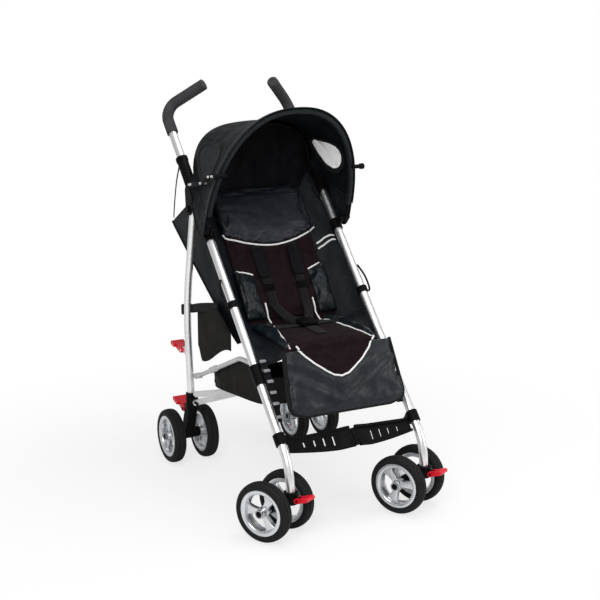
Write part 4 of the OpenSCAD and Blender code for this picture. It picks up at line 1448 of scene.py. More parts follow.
@dataclass
class Hood:
    """The folding hood: bows, sleeve, canopy, net windows and stays.

    Attributes:
        shop: The workshop.
        pivot: Place (y, z) of the front bow's pivots.
        width: Half the width of the front bow.
        height: Height of the front bow.
        lean: Forward lean of the front bow in degrees.
        rear: Place (y, z) of the rear bow's feet.
        rear_half: Half the width of the canopy at the rear.
        rear_height: Height of the canopy over the rear bow's feet.
        bow_r: Radius of the bows.
        square: How square the front bow's shoulders are.
        rear_square: How square the rear bow's shoulders are.
        start: Angle round the canopy at which its edge begins.
        window: Middle (v, angle) and half sizes of a net window.
    """

    shop: Workshop
    pivot: tuple[float, float] = (99.0, 682.0)
    width: float = 205.0
    height: float = 326.0
    lean: float = 20.0
    rear: tuple[float, float] = (239.55, 789.49)
    rear_half: float = 174.0
    rear_height: float = 149.3
    bow_r: float = 5.0
    square: float = 2.3
    rear_square: float = 3.0
    start: float = 6.0
    window: tuple[float, float, float, float] = (0.46, 27.5, 0.33, 13.0)

    def build(self) -> None:
        """Make every piece of the hood."""
        self.bows()
        self.canopy()
        self.rear_panel()
        for side in Side:
            self.skirt(side)
            self.net(side)
            self.stay(side)

    @staticmethod
    def ring(a: float, h: float, n: float, angle: float) -> tuple[float, float]:
        """A half ring with squared shoulders, a wide and h high, at an angle in degrees."""
        c, s = math.cos(math.radians(angle)), math.sin(math.radians(angle))
        return math.copysign(abs(c) ** (2 / n), c) * a, abs(s) ** (2 / n) * h

    def bow_point(self, angle: float) -> Vector:
        """A point of the front bow's middle line."""
        x, h = self.ring(self.width, self.height - 6.0, self.square, angle)
        a = math.radians(self.lean)
        y, z = self.pivot
        return self.shop.skeleton.at(x, y - (h + 6) * math.sin(a), z + (h + 6) * math.cos(a))

    def cloth(self, v: float, angle: float, proud: float = 0.0) -> Vector:
        """A point of the canopy.

        Args:
            v: 0 at the rear bow and 1 at the front bow.
            angle: Angle round the hood in degrees.
            proud: Height over the cloth in millimetres.

        Returns:
            The point in the frame.
        """
        e = 1.1 + proud
        rx, rz = self.ring(self.rear_half + e, self.rear_height + e, self.rear_square, angle)
        fx, fz = self.ring(self.width + 7.8 + e, self.height + 7.8 + e, self.square, angle)
        a = math.radians(self.lean)
        q = math.radians(angle)
        rise = math.sin(math.pi * v) ** 2
        sag = rise * (12.0 * math.sin(q) + 2.5 * math.sin(7 * q + 0.7))
        fold = 3.0 * rise * ripple(v * 4.0, angle / 16.0, 2.0)
        fold += 1.6 * rise * ripple(v * 9.0, angle / 7.0, 5.0)
        x = mix(rx, fx, v) * (1.0 - 0.012 * rise * (1 - math.sin(q)))
        y = mix(self.rear[0] + 11.0, self.pivot[0] - fz * math.sin(a) - 4.0, v)
        z = mix(self.rear[1] + rz, self.pivot[1] + fz * math.cos(a), v) - sag + fold
        return self.shop.skeleton.at(x + math.copysign(fold * 0.6, x), y, z)

    def share(self, p: Vector) -> float:
        """How far a point of the hood follows the front bow."""
        angle = math.degrees(math.atan2(p.y - self.pivot[0], p.z - self.pivot[1]))
        return smooth((56.0 - angle) / 76.0)

    def fix(self, obj: Piece, slot: str, *nodes: str) -> Piece:
        """Hang a piece of the hood between the frame and the front bow.

        Args:
            obj: The piece.
            slot: The record's material slot; not used.
            nodes: The CAD nodes that it stands for.

        Returns:
            The piece.
        """
        return self.shop.dress(obj, "frame_right", slot, *nodes, tied=("hood", self.share))

    def in_window(self, v: float, angle: float) -> bool:
        """Whether a point of the canopy lies in a net window."""
        mid, turn, long, high = self.window
        near = angle if angle < 90.0 else 180.0 - angle
        return ((v - mid) / long) ** 2 + ((near - turn) / high) ** 2 < 1.0

    def bows(self) -> None:
        """The two bows, the pivots' bosses and the sleeve on the front bow."""
        sk = self.shop.skeleton
        bow = rod([self.bow_point(180.0 * i / 72) for i in range(73)], self.bow_r * MM, 12)
        boss = drum(-6.0, 6.0, 0.0, 9.0, 1.4)
        places = [facing(ACROSS, sk.at(side.value * self.width, *self.pivot)) for side in Side]
        bosses = [spun(boss, place, 32) for place in places]
        front = self.shop.piece("hood_front_bow", joined(bow, *bosses), Finish.BLACK_PLASTIC)
        self.shop.dress(front, "hood", "black_plastic", "hood_bow")
        arch = []
        for i in range(57):
            x, h = self.ring(sk.half - sk.tube_r - 9.3, 144.0, self.rear_square, 180.0 * i / 56)
            arch.append(sk.at(x, self.rear[0], self.rear[1] + h))
        rear = self.shop.piece("hood_back_bow", rod(arch, self.bow_r * MM, 12), Finish.BLACK_PLASTIC)
        self.shop.dress(rear, "frame_right", "black_plastic", "hood_rear_bow")
        line = [self.bow_point(5.0 + 170.0 * i / 80) for i in range(81)]
        sleeve = self.shop.piece("hood_sleeve", rod(line, 7.0 * MM, 16), Finish.HOOD_HEM)
        self.fix(sleeve, "shell_cloth")

    def canopy(self) -> None:
        """The canopy, one curved sheet with both windows cut out, and its front hem."""
        span = 180.0 - 2 * self.start

        def shape(u: float, v: float) -> Vector:
            return self.cloth(v, self.start + span * u)

        def cut(u: float, v: float) -> bool:
            return self.in_window(v, self.start + span * u)

        bm = grid(shape, 150, 48, (0.86, 0.24), cut)
        obj = self.shop.cloth("hood_cloth", bm, Finish.HOOD_CLOTH, 1.6)
        self.fix(obj, "shell_cloth", "hood_canopy")

        def hem(u: float, v: float) -> Vector:
            return self.cloth(mix(0.925, 1.012, v), self.start + span * u, 1.5 + 0.7 * math.sin(math.pi * v))

        band = self.shop.cloth("hood_hem", grid(hem, 150, 6, (0.9, 0.02)), Finish.HOOD_HEM, 1.2)
        self.fix(band, "shell_cloth")

    def skirt(self, side: Side) -> None:
        """The cloth below the canopy's edge, down to the long tube, with its bound hem."""
        sk = self.shop.skeleton
        turn = self.start if side is Side.LEFT else 180.0 - self.start
        marks = ((176.5, 243.0, 806.0), (188.0, 224.0, 797.0), (203.0, 205.0, 765.0), (206.0, 187.0, 728.0),
                 (208.0, 162.0, 694.0), (209.5, 136.0, 668.0), (211.5, 112.0, 664.0), (214.0, 92.0, 686.0))
        line = eased([sk.at(side.value * x, y, z) for x, y, z in marks], 8)

        def shape(u: float, v: float) -> Vector:
            spot = self.cloth(v, turn).lerp(picked(line, v), u)
            puff = 4.0 * math.sin(math.pi * u) + 2.0 * u * ripple(v * 7.0, u * 2.0, 3.0)
            spot.x += side.value * MM * math.sin(math.pi * v) * puff
            return spot

        bm = grid(shape, 10, 48, (0.06, 0.2))
        obj = self.shop.cloth(f"hood_skirt_{side.label}", bm, Finish.HOOD_CLOTH, 1.6)
        self.fix(obj, "shell_cloth")
        bound = rod([picked(line, i / 30) for i in range(31)], 2.2 * MM, 8)
        hem = self.shop.piece(f"hood_skirt_hem_{side.label}", bound, Finish.BINDING)
        self.fix(hem, "webbing")

    def rear_panel(self) -> None:
        """The upright panel that closes the hood's rear, in soft upright folds."""
        sk = self.shop.skeleton
        wide = self.rear_half - 1.0

        def shape(u: float, v: float) -> Vector:
            x = (2 * u - 1) * wide
            arch = max(0.0, 1 - abs(x / (wide + 2.8)) ** self.rear_square) ** (1 / self.rear_square)
            top = self.rear[1] + (self.rear_height + 1.8) * arch
            low = self.rear[1] - 40.0
            fold = 4.0 * math.sin(x / 13.0 + 1.6 * ripple(x / 40, v * 2)) + 4.0 * ripple(x / 30.0, v * 3.0)
            y = self.rear[0] + 8.0 - 8.0 * smooth(1 - 4.0 * v) + fold * bump(2 * v - 1, 4)
            return sk.at(x * (1 - 0.03 * (1 - v)), y, mix(low, top, v))

        bm = grid(shape, 90, 40, (0.35, 0.17))
        obj = self.shop.cloth("hood_back_panel", bm, Finish.HOOD_LINING, 1.4)
        tied = ("backrest", lambda p: smooth((self.rear[1] - p.z) / 34.0))
        self.shop.dress(obj, "frame_right", "shell_cloth", tied=tied)

    def net(self, side: Side) -> None:
        """One net window with a flat binding round it."""
        mid, turn, long, high = self.window

        def real(angle: float) -> float:
            return angle if side is Side.LEFT else 180.0 - angle

        def shape(u: float, v: float) -> Vector:
            return self.cloth(mid + long * (2 * v - 1), real(turn + high * (2 * u - 1)))

        def outside(u: float, v: float) -> bool:
            return (2 * u - 1) ** 2 + (2 * v - 1) ** 2 > 1.0

        bm = grid(shape, 34, 60, (0.09, 0.17), outside)
        obj = self.shop.piece(f"hood_net_{side.label}", bm, Finish.NET)
        wire = obj.modifiers.new("threads", "WIREFRAME")
        wire.thickness = 0.62 * MM
        wire.use_boundary = True
        self.fix(obj, "shell_cloth")
        ring = [
            self.cloth(mid + long * math.cos(a), real(turn + high * math.sin(a)), 0.6)
            for a in (math.tau * i / 72 for i in range(73))
        ]
        out = Vector((side.value, 0, 0.25)).normalized()
        bm = self.shop.ribbon(ring, [out] * len(ring), lambda v: 13.0)
        band = self.shop.cloth(f"hood_net_edge_{side.label}", bm, Finish.BINDING, 3.6)
        self.fix(band, "shell_cloth")

    def stay(self, side: Side) -> None:
        """One stay from the joint to the front bow, with its rivets and knob."""
        sk = self.shop.skeleton
        out = Vector((side.value, 0, 0))
        x, step = side.value * 206.0, side.value * 4.2
        ends = [Vector((190.0, 790.0)), Vector((117.0, 803.0)), Vector((66.0, 826.0))]
        arms = []
        for a, b in zip(ends, ends[1:]):
            way = (b - a).normalized()
            across = Vector((-way.y, way.x)) * 6.0
            a, b = a - way * 4, b + way * 4
            outline = [tuple(corner) for corner in (a - across, b - across, b + across, a + across)]
            arms.append(plate(outline, 4.0, 1.2, Matrix.Translation(sk.at(x, 0.0, 0.0))))
            x += step
        rivet = ((-16.0, 0.0), (-15.4, 2.6), (-14.0, 3.4), (4.0, 3.4), (5.4, 2.4), (5.8, 0.0))
        pins = [spun(rivet, facing(out, sk.at(x - step, *spot)), 24) for spot in ends]
        stem = ((-32.0, 0.0), (-32.0, 5.4), (-10.0, 5.4), (-9.0, 7.4), (0.0, 8.0), (2.0, 6.6), (2.4, 0.0))
        knob = spun(stem, facing(out, sk.at(side.value * 214.0, 24.0, 832.0)), 32)
        for name, bm, finish in (
            ("hood_stay", joined(*arms), Finish.BLACK_PLASTIC),
            ("hood_rivets", joined(*pins), Finish.WHITE_PLASTIC),
            ("hood_knob", knob, Finish.BLACK_PLASTIC),
        ):
            self.fix(self.shop.piece(f"{name}_{side.label}", bm, finish), "black_plastic")


@dataclass
class Seat:
    """The padded backrest, seat and leg rest, with their piping.

    Attributes:
        shop: The workshop.
        pad_w: Half the width of the seat and backrest.
        panel_w: Half the width of the dark middle between the side cushions.
        head_w: Half the width of the headrest.
        rest_len: Length of the leg rest.
        tongue_x: Sideways place of the tongue's middle on the leg rest.
        tongue_tip: Place of the tongue's tip down the leg rest.
        cushions: The stuffed pieces, by name, once made.
    """

    shop: Workshop
    pad_w: float = 130.0
    panel_w: float = 78.0
    head_w: float = 136.0
    rest_len: float = 163.0
    tongue_x: float = -9.0
    tongue_tip: float = 79.0
    cushions: dict = field(default_factory=dict)

    def build(self) -> None:
        """Make the cushions first and the piping on them after."""
        self.backrest()
        self.headrest()
        for side in Side:
            self.side_cushion(side)
            self.seat_side(side)
        self.seat_pad()
        self.lining()
        self.leg_rest()
        self.piping()
        self.tongue()

    def keep(self, name: str, obj: Piece, body: str, slot: str, fill: float, *nodes: str) -> None:
        """Keep a stuffed piece by its short name and put it on its body.

        Args:
            name: Short name by which the piping finds it.
            obj: The piece.
            body: The body that carries it.
            slot: The record's material slot; not used.
            fill: How full it is, from 0 to 1; not used.
            nodes: The CAD nodes that it stands for.
        """
        self.cushions[name] = obj
        self.shop.dress(obj, body, slot, *nodes)

    def backrest(self) -> None:
        """The full-width dark panel of the backrest."""
        sk = self.shop.skeleton

        def front(u: float, v: float) -> Vector:
            k = 2 * u - 1
            puff = 5.0 * bump(k, 4) * bump(2 * v - 1, 8)
            return sk.back(k * (self.pad_w - 3 + 5 * v), mix(60, 440, v), puff)

        def rear(u: float, v: float) -> Vector:
            k = 2 * u - 1
            return sk.back(k * (self.pad_w - 6 + 5 * v), mix(62, 438, v), -20.0 - 6.0 * bump(k, 4))

        obj = self.shop.cushion("backrest_panel", shut(front, rear, 40, 56), Finish.PANEL_CLOTH, 4.0)

        def sewn(spot: Vector, _normal: Vector) -> float:
            x, s, t = sk.on_back(spot)
            if t < -6:
                return 0.0
            wave = 0.8 * ripple(x / 26.0, s / 30.0)
            return wave - 3.0 * dent(abs(x) - self.panel_w, 4.0) * smooth((300 - s) / 30)

        self.shop.press(obj, sewn)
        self.keep("back", obj, "backrest", "pad_cloth", 0.6, "backrest_pad")

    def head_low(self, x: float) -> float:
        """How far up the backrest the headrest begins at a sideways place."""
        return 268.0 + 37.0 * abs(x / 132.0) ** 1.9

    def headrest(self) -> None:
        """The shiny puffed headrest, whose lower edge dips in an arc."""
        sk = self.shop.skeleton

        def front(u: float, v: float) -> Vector:
            k = 2 * u - 1
            x = k * (self.head_w - 2.0)
            s = mix(self.head_low(x) + 2, 443 - 12 * abs(k) ** 4, v)
            return sk.back(x, s, 8.0 + 7.0 * bump(k, 3) * bump(2 * v - 1, 3))

        def rear(u: float, v: float) -> Vector:
            k = 2 * u - 1
            x = k * (self.head_w - 4.0)
            s = mix(self.head_low(x) + 4, 441 - 12 * abs(k) ** 4, v)
            return sk.back(x, s, mix(3.0, -22.0, smooth(v * 2.2 - 0.3)))

        obj = self.shop.cushion("headrest", shut(front, rear, 44, 30), Finish.HEAD_CLOTH, 7.0, pressure=5.0)

        def sewn(spot: Vector, _normal: Vector) -> float:
            x, s, t = sk.on_back(spot)
            if t < 0:
                return 0.0
            return 1.6 * ripple(x / 34.0, s / 22.0, 3.0) * smooth((s - 270) / 50) - 2.0 * dent(s - 418.0, 5.0)

        self.shop.press(obj, sewn)
        self.keep("head", obj, "backrest", "shell_cloth", 0.7)

    def side_top(self, x: float) -> float:
        """How far up the backrest a side cushion ends at a sideways place."""
        return 186.0 + 22.0 * clamp((abs(x) - self.panel_w) / 54.0)

    def gathers(self, x: float, s: float) -> float:
        """Height of the gathered creases on a side cushion."""
        lean = s / 11.0 + 0.35 * math.sin(x / 9.0) + 2.2 * ripple(x / 24.0, s / 40.0, 7.0)
        return 3.0 * math.sin(lean) + 2.2 * ripple(x / 11.0, s / 15.0, 1.0)

    def side_cushion(self, side: Side) -> None:
        """One gathered cushion beside the middle panel of the backrest."""
        sk = self.shop.skeleton
        inner, outer = self.panel_w + 2.0, self.pad_w + 2.0

        def front(u: float, v: float) -> Vector:
            x = mix(inner, outer, u)
            puff = 9.0 + 6.0 * bump(2 * u - 1, 3) * bump(2 * v - 1, 4)
            return sk.back(side.value * x, mix(62, self.side_top(x) - 2, v), puff)

        def rear(u: float, v: float) -> Vector:
            x = mix(inner + 1, outer - 1, u)
            return sk.back(side.value * x, mix(63, self.side_top(x) - 3, v), 2.0)

        obj = self.shop.cushion(
            f"side_cushion_{side.label}", shut(front, rear, 14, 34), Finish.PUFF_CLOTH, 6.0, voxel=3.6,
            pressure=5.0)

        def sewn(spot: Vector, _normal: Vector) -> float:
            x, s, t = sk.on_back(spot)
            return 0.0 if t < 6 else self.gathers(x, s) * bump((abs(x) - 105) / 30.0, 4)

        self.shop.press(obj, sewn)
        self.keep(f"side_{side.label}", obj, "backrest", "shell_cloth", 0.7)

    def middle(self, y: float) -> float:
        """Half the width of the dark middle of the seat at a place along it."""
        return mix(70.0, 122.0, clamp(-y / 212.0))

    def seat_pad(self) -> None:
        """The dark middle of the seat, over the whole seat."""
        sk = self.shop.skeleton

        def front(u: float, v: float) -> Vector:
            k = 2 * u - 1
            y = mix(-4, -208, v)
            return sk.at(k * (self.pad_w - 2), y, mix(436, 430, v) + 6.0 * bump(k, 4) * bump(2 * v - 1, 6))

        def rear(u: float, v: float) -> Vector:
            k = 2 * u - 1
            return sk.at(k * (self.pad_w - 5), mix(-18, -206, v), mix(436, 430, v) - 25.0)

        obj = self.shop.cushion("seat_cushion", shut(front, rear, 40, 32), Finish.PANEL_CLOTH, 4.0)

        def sewn(spot: Vector, normal: Vector) -> float:
            p = sk.local(spot)
            if normal.z < 0.2:
                return 0.0
            return 0.9 * ripple(p.x / 22.0, p.y / 22.0, 4.0) - 2.5 * dent(abs(p.x) - self.middle(p.y), 4.0)

        self.shop.press(obj, sewn)
        self.keep("seat", obj, "frame_right", "pad_cloth", 0.6, "seat_pad")

    def seat_side(self, side: Side) -> None:
        """One gathered cushion along the side of the seat."""
        sk = self.shop.skeleton

        def front(u: float, v: float) -> Vector:
            y = mix(-6, -196, v)
            x = mix(self.middle(y) + 2, max(self.pad_w, self.middle(y) + 8), u)
            return sk.at(side.value * x, y, mix(446, 437, v) + 5.0 * bump(2 * u - 1, 3) * bump(2 * v - 1, 4))

        def rear(u: float, v: float) -> Vector:
            p = front(u, v)
            return Vector((p.x, p.y, sk.at(0, 0, mix(434, 428, v)).z))

        bm = shut(front, rear, 12, 34)
        obj = self.shop.cushion(f"seat_side_{side.label}", bm, Finish.PUFF_CLOTH, 4.0, voxel=3.6)

        def sewn(spot: Vector, normal: Vector) -> float:
            p = sk.local(spot)
            return 0.0 if normal.z < 0.1 else 0.6 * self.gathers(p.x, -p.y)

        self.shop.press(obj, sewn)
        self.keep(f"seat_side_{side.label}", obj, "frame_right", "shell_cloth", 0.6)

    def tied(self, p: Vector) -> float:
        """How far a point between the seat and the backrest follows the backrest."""
        return smooth((self.shop.skeleton.up_back(p) - 40.0) / 40.0) if p.y > -12.0 else 0.0

    def lining(self) -> None:
        """The cloth that joins the seat to the backrest behind the cushions' edges."""
        sk = self.shop.skeleton
        run = eased([Vector((0, *p)) for p in ((-36, 424), (-8, 428), (12, 437), (28, 455), (46, 480))], 6)

        def shape(u: float, v: float) -> Vector:
            p = picked(run, v)
            return sk.at((2 * u - 1) * (self.pad_w - 2.0), p.y, p.z + 1.5 * ripple(u * 14.0, v * 3.0))

        bm = grid(shape, 50, len(run) - 1, (0.26, 0.1))
        obj = self.shop.cloth("seat_lining", bm, Finish.PANEL_CLOTH, 1.6)
        self.shop.dress(obj, "frame_right", "pad_cloth", tied=("backrest", self.tied))

    def rest_edge(self, v: float) -> float:
        """Half the width of the leg rest at a share of its length, with round lower corners."""
        wide = mix(150.0, 163.0, v)
        corner = clamp((v - 0.80) / 0.20)
        return wide - 34.0 * (1 - math.sqrt(max(0.0, 1 - corner * corner)))

    def leg_rest(self) -> None:
        """The shiny leg rest, with soft folds that run down from the tongue."""
        sk = self.shop.skeleton

        def front(u: float, v: float) -> Vector:
            k = 2 * u - 1
            puff = 2.0 * bump(k, 6) * bump(2 * v - 1, 4)
            return sk.rest(k * (self.rest_edge(v) - 2), v * self.rest_len + 1, puff)

        def rear(u: float, v: float) -> Vector:
            k = 2 * u - 1
            return sk.rest(k * (self.rest_edge(v) - 4), v * self.rest_len + 2, -13.0)

        obj = self.shop.cushion("leg_rest_pad", shut(front, rear, 56, 30), Finish.LEG_CLOTH, 3.5)

        def sewn(spot: Vector, _normal: Vector) -> float:
            x, s, t = sk.on_rest(spot)
            if t < -8:
                return 0.0
            low = smooth((s - 24.0) / 36.0) * smooth((self.rest_len - 4 - s) / 20.0)
            dx = x - self.tongue_x
            spoke = math.atan2(dx, s + 30.0)
            v_line = s - self.tongue_tip - 24.0 + 0.62 * abs(dx)
            folds = 5.0 * dent(v_line, 9.0) - 3.0 * dent(v_line - 24.0, 10.0)
            folds += 3.0 * dent(v_line - 46.0, 10.0)
            folds += 2.0 * math.sin(spoke * 9.0 + 1.1)
            folds += 2.4 * ripple(x / 42.0, s / 30.0, 9.0) + 1.5 * ripple(x / 18.0, s / 26.0, 2.0)
            wide = self.rest_edge(clamp(s / self.rest_len))
            rim = dent(abs(x) - wide + 8.0, 4.0) + dent(s - self.rest_len + 8.0, 4.0)
            return folds * low - 1.4 * min(1.0, rim)

        self.shop.press(obj, sewn)
        self.keep("rest", obj, "leg_rest", "shell_cloth", 0.5, "leg_rest")
        shares = [i / 40 for i in range(39)]
        edge = [sk.rest(self.rest_edge(v), v * self.rest_len, -5.0) for v in shares]
        foot = [sk.rest(x, self.rest_len, -5.0) for x in range(118, -119, -12)]
        other = [sk.rest(-self.rest_edge(v), v * self.rest_len, -5.0) for v in reversed(shares)]
        bind = self.shop.piece("leg_rest_binding", rod(edge + foot + other, 4.6 * MM, 12), Finish.BINDING)
        self.shop.dress(bind, "leg_rest", "webbing")

    def cord_of(self, name: str, line: list[Vector], body: str, radius: float = 2.2) -> Piece:
        """A run of white piping on a body."""
        obj = self.shop.piece(name, rod(line, radius * MM, 10), Finish.PIPING)
        return self.shop.dress(obj, body, "shell_cloth")

    def piping(self) -> None:
        """White piping under the headrest, on the side cushions and along the middle."""
        sk = self.shop.skeleton
        into = sk.into_back
        arc = [sk.back(x, self.head_low(x) - 1.5, 12.0) for x in range(-136, 137, 8)]
        line = self.shop.laid(arc, into, 1.0, self.cushions["back"], self.cushions["head"])
        self.cord_of("head_piping", line, "backrest", 2.5)
        for side in Side:
            top = [sk.back(side.value * x, self.side_top(x) - 1.0, 14.0) for x in range(82, 127, 6)]
            line = self.shop.laid(top, into, 0.6, self.cushions["back"], self.cushions[f"side_{side.label}"])
            self.cord_of(f"side_piping_{side.label}", eased(line, 3), "backrest")
            self.edge_piping(side)

    def edge_piping(self, side: Side) -> None:
        """The piping down the edge of the dark middle, over the bend onto the seat."""
        sk = self.shop.skeleton
        run = [sk.back(side.value * (self.panel_w - 8), s, 12.0) for s in (104, 94, 84, 74, 66)]
        under = [self.cushions[k] for k in ("back", f"side_{side.label}")]
        line = self.shop.laid(run, sk.into_back, 0.8, *under)
        line += [sk.at(side.value * self.middle(0), 10, 449), sk.at(side.value * self.middle(0), 0, 443)]
        flat = [sk.at(side.value * self.middle(y), y, 448.0) for y in range(-10, -205, -12)]
        under = [self.cushions[k] for k in ("seat", f"seat_side_{side.label}")]
        line += self.shop.laid(flat, DOWN, 0.8, *under)
        obj = self.shop.piece(f"edge_piping_{side.label}", rod(eased(line, 3), 2.2 * MM, 10), Finish.PIPING)
        self.shop.dress(obj, "frame_right", "shell_cloth", tied=("backrest", self.tied))

    def tongue_half(self, s: float) -> float:
        """Half the width of the tongue at a place down the leg rest."""
        points = ((-12.0, 112.0), (4.0, 101.0), (19.0, 90.0), (44.0, 64.0), (62.0, 40.0), (74.0, 20.0),
                  (self.tongue_tip, 0.0))
        for (a, wa), (b, wb) in zip(points, points[1:]):
            if s <= b:
                return mix(wa, wb, clamp((s - a) / (b - a)))
        return 0.0

    def tongue(self) -> None:
        """The dark tongue of the seat that hangs over the leg rest, edged with piping."""
        sk = self.shop.skeleton
        into = (sk.rest(0, 0, -1) - sk.rest(0, 0, 0)).normalized()

        def shape(u: float, v: float) -> Vector:
            s = mix(-8.0, 78.6, v)
            return sk.rest(self.tongue_x + (2 * u - 1) * (self.tongue_half(s) + 0.5), s, 6.0)

        bm = grid(shape, 26, 22, (0.2, 0.09))
        for vert in bm.verts:
            vert.co = self.shop.laid([vert.co], into, 1.4, self.cushions["rest"])[0]
        obj = self.shop.cloth("seat_tongue", bm, Finish.PANEL_CLOTH, 2.0)
        self.shop.dress(obj, "leg_rest", "pad_cloth")
        spots = [-8, 0, 8, 19, 30, 44, 54, 62, 69, 74, 77]
        rim = [(-self.tongue_half(s), s) for s in spots] + [(0.0, self.tongue_tip)]
        rim += [(self.tongue_half(s), s) for s in reversed(spots)]
        line = eased([sk.rest(self.tongue_x + x, s, 8.0) for x, s in rim], 4)
        line = self.shop.laid(line, into, 1.6, self.cushions["rest"])
        self.cord_of("tongue_piping", line, "leg_rest", 2.5)


@dataclass
class Sides:
    """The cloth side wings, the pouches, the pocket behind the backrest and the basket.

    Attributes:
        shop: The workshop.
        pad_w: Half the width of the seat and backrest.
        pocket: Depth of the pocket at its top.
        bend: Share of a wing at which the seat meets the backrest.
        wall: Share of the basket's cloth that is its wall.
        stripes: Both ends (k, j) of each white stripe on the left wing.
    """

    shop: Workshop
    pad_w: float = 130.0
    pocket: float = 134.0
    bend: float = 0.34
    wall: float = 0.6
    stripes: Sequence[Profile] = (((0.69, 0.16), (0.92, 0.9)), ((0.72, 0.16), (0.955, 0.9)))

    def build(self) -> None:
        """Make the wings and pouches of both sides, the pocket and the basket."""
        for side in Side:
            self.wing(side)
            self.pouch(side)
        self.back_cover()
        self.basket()

    def wing_point(self, side: Side, k: float, j: float, proud: float = 0.0) -> Vector:
        """A point of a wing.

        Args:
            side: The wing's side.
            k: 0 at the front of the seat, 1 at the top of the backrest and 1.4 at the hood.
            j: 0 at the cushion and 1 at the long tube.
            proud: Height over the cloth in millimetres.

        Returns:
            The point in the frame.
        """
        sk = self.shop.skeleton
        top = clamp((k - 1.0) / 0.4)
        if k < self.bend:
            low = k / self.bend
            inner = Vector((self.pad_w - 6.0, mix(-214.0, -2.0, low), mix(424.0, 432.0, low)))
        else:
            s = mix(66.0, 440.0, clamp((k - self.bend) / (1 - self.bend)))
            inner = sk.local(sk.back(self.pad_w - 6.0 + 5 * (s - 58) / 388, s, -8.0))
            inner = inner.lerp(Vector((171.0, 246.0, 804.0)), top)
        turn = smooth((top - 0.44) / 0.2)
        place = mix(230.0, 588.0, min(1.0, k)) + 190.0 * top
        outer = sk.local(sk.tube(mix(sk.half - 2.0, 176.0, turn), place, mix(sk.tube_r + 2.6, 3.0, turn)))
        p = inner.lerp(outer, j)
        soft = math.sin(math.pi * j)
        sag = 10.0 * (1 - 0.6 * min(1.0, k))
        p.z += soft * (2.0 * math.sin(22.7 * k) - sag + 3.0 * ripple(k * 9.0, j * 3.0, 6.0))
        p.x += soft * 5.0 * ripple(k * 5.0, j * 2.0, 1.0) - proud * 0.8
        p.y -= proud * 0.6
        return sk.at(p.x * side.value, p.y, p.z)

    def lean(self, p: Vector) -> float:
        """How far a point of a wing follows the backrest."""
        s = self.shop.skeleton.up_back(p)
        return smooth((s - 40.0) / 60.0) * smooth((178.0 - abs(p.x)) / 46.0) * smooth((800.0 - p.z) / 50.0)

    def wing(self, side: Side) -> None:
        """One wing, with two white stripes on the left one."""
        bm = grid(lambda u, v: self.wing_point(side, 1.4 * v, u), 22, 110, (0.12, 0.6))
        obj = self.shop.cloth(f"side_wing_{side.label}", bm, Finish.SIDE_CLOTH, 1.6)
        nodes = ("side_wings",) if side is Side.RIGHT else ()
        self.shop.dress(obj, "frame_right", "shell_cloth", *nodes, tied=("backrest", self.lean))
        for i, ends in enumerate(self.stripes if side is Side.LEFT else ()):
            (k0, j0), (k1, j1) = ends
            shares = [n / 24 for n in range(25)]
            line = [self.wing_point(side, mix(k0, k1, t), mix(j0, j1, t), 1.6) for t in shares]
            face = [Vector((-side.value * 0.8, -0.6, 0.2))] * len(line)
            bm = self.shop.ribbon(line, face, lambda v: 5.0, 2)
            stripe = self.shop.cloth(f"wing_stripe_{i}_{side.label}", bm, Finish.PIPING, 1.0)
            self.shop.dress(stripe, "frame_right", "shell_cloth", tied=("backrest", self.lean))

    def back_cover(self) -> None:
        """The cloth pocket behind the backrest, fuller towards its top."""
        sk = self.shop.skeleton

        def inner(u: float, v: float) -> Vector:
            return sk.back((2 * u - 1) * (self.pad_w + 6 + 38 * v), mix(40, 440, v), -31.0)

        def outer(u: float, v: float) -> Vector:
            k = 2 * u - 1
            deep = 52.0 + self.pocket * v ** 0.85 * (0.9 + 0.1 * k * k) + 4 * math.sin(9.42 * k) * v
            deep += 9.0 * ripple(k * 2.0, v * 3.0, 8.0) * bump(k, 6)
            deep -= 14.0 * bump(k, 2) * math.sin(math.pi * v) ** 2
            return sk.back(k * (self.pad_w + 18 + 30 * v), mix(24, 452, v), -deep)

        obj = self.shop.piece("back_pocket", shut(inner, outer, 60, 60), Finish.SIDE_CLOTH, 60.0)
        self.shop.dress(obj, "backrest", "shell_cloth", "back_cover")
        seam = [outer(0.0, i / 40) for i in range(41)] + [outer(i / 60, 1.0) for i in range(1, 61)]
        seam += [outer(1.0, i / 40) for i in range(39, -1, -1)]
        hem = self.shop.piece("back_pocket_hem", rod(seam, 2.6 * MM, 8), Finish.BINDING)
        self.shop.dress(hem, "backrest", "webbing")

    def pouch(self, side: Side) -> None:
        """One soft pouch that hangs beside the seat, between the strap and the basket."""
        sk = self.shop.skeleton

        def spot(u: float, v: float, x: float) -> Vector:
            y = mix(36.0, 250.0, u)
            low = 372.0 - 74.0 * smooth(u * 1.15) + 38.0 * smooth((u - 0.86) / 0.14)
            high = 416.0 + 58.0 * math.sin(math.pi / 2 * min(1.0, u / 0.62)) - 26.0 * smooth((u - 0.3) / 0.5)
            return sk.at(side.value * x, y + 6.0 * (1 - v) * math.sin(math.pi * u), mix(low, high, v))

        def front(u: float, v: float) -> Vector:
            puff = bump(2 * u - 1, 4) * bump(2 * v - 1, 4)
            return spot(u, v, 170.5 + 5.5 * puff + 2.0 * ripple(u * 4.0, v * 3.0, 2.0) * puff)

        def rear(u: float, v: float) -> Vector:
            return spot(u, v, 168.5 - 0.5 * bump(2 * u - 1, 4) * bump(2 * v - 1, 4))

        bm = shut(front, rear, 30, 22)
        obj = self.shop.piece(f"side_pouch_{side.label}", bm, Finish.BASKET_CLOTH, 60.0)
        self.shop.dress(obj, "frame_right", "shell_cloth")

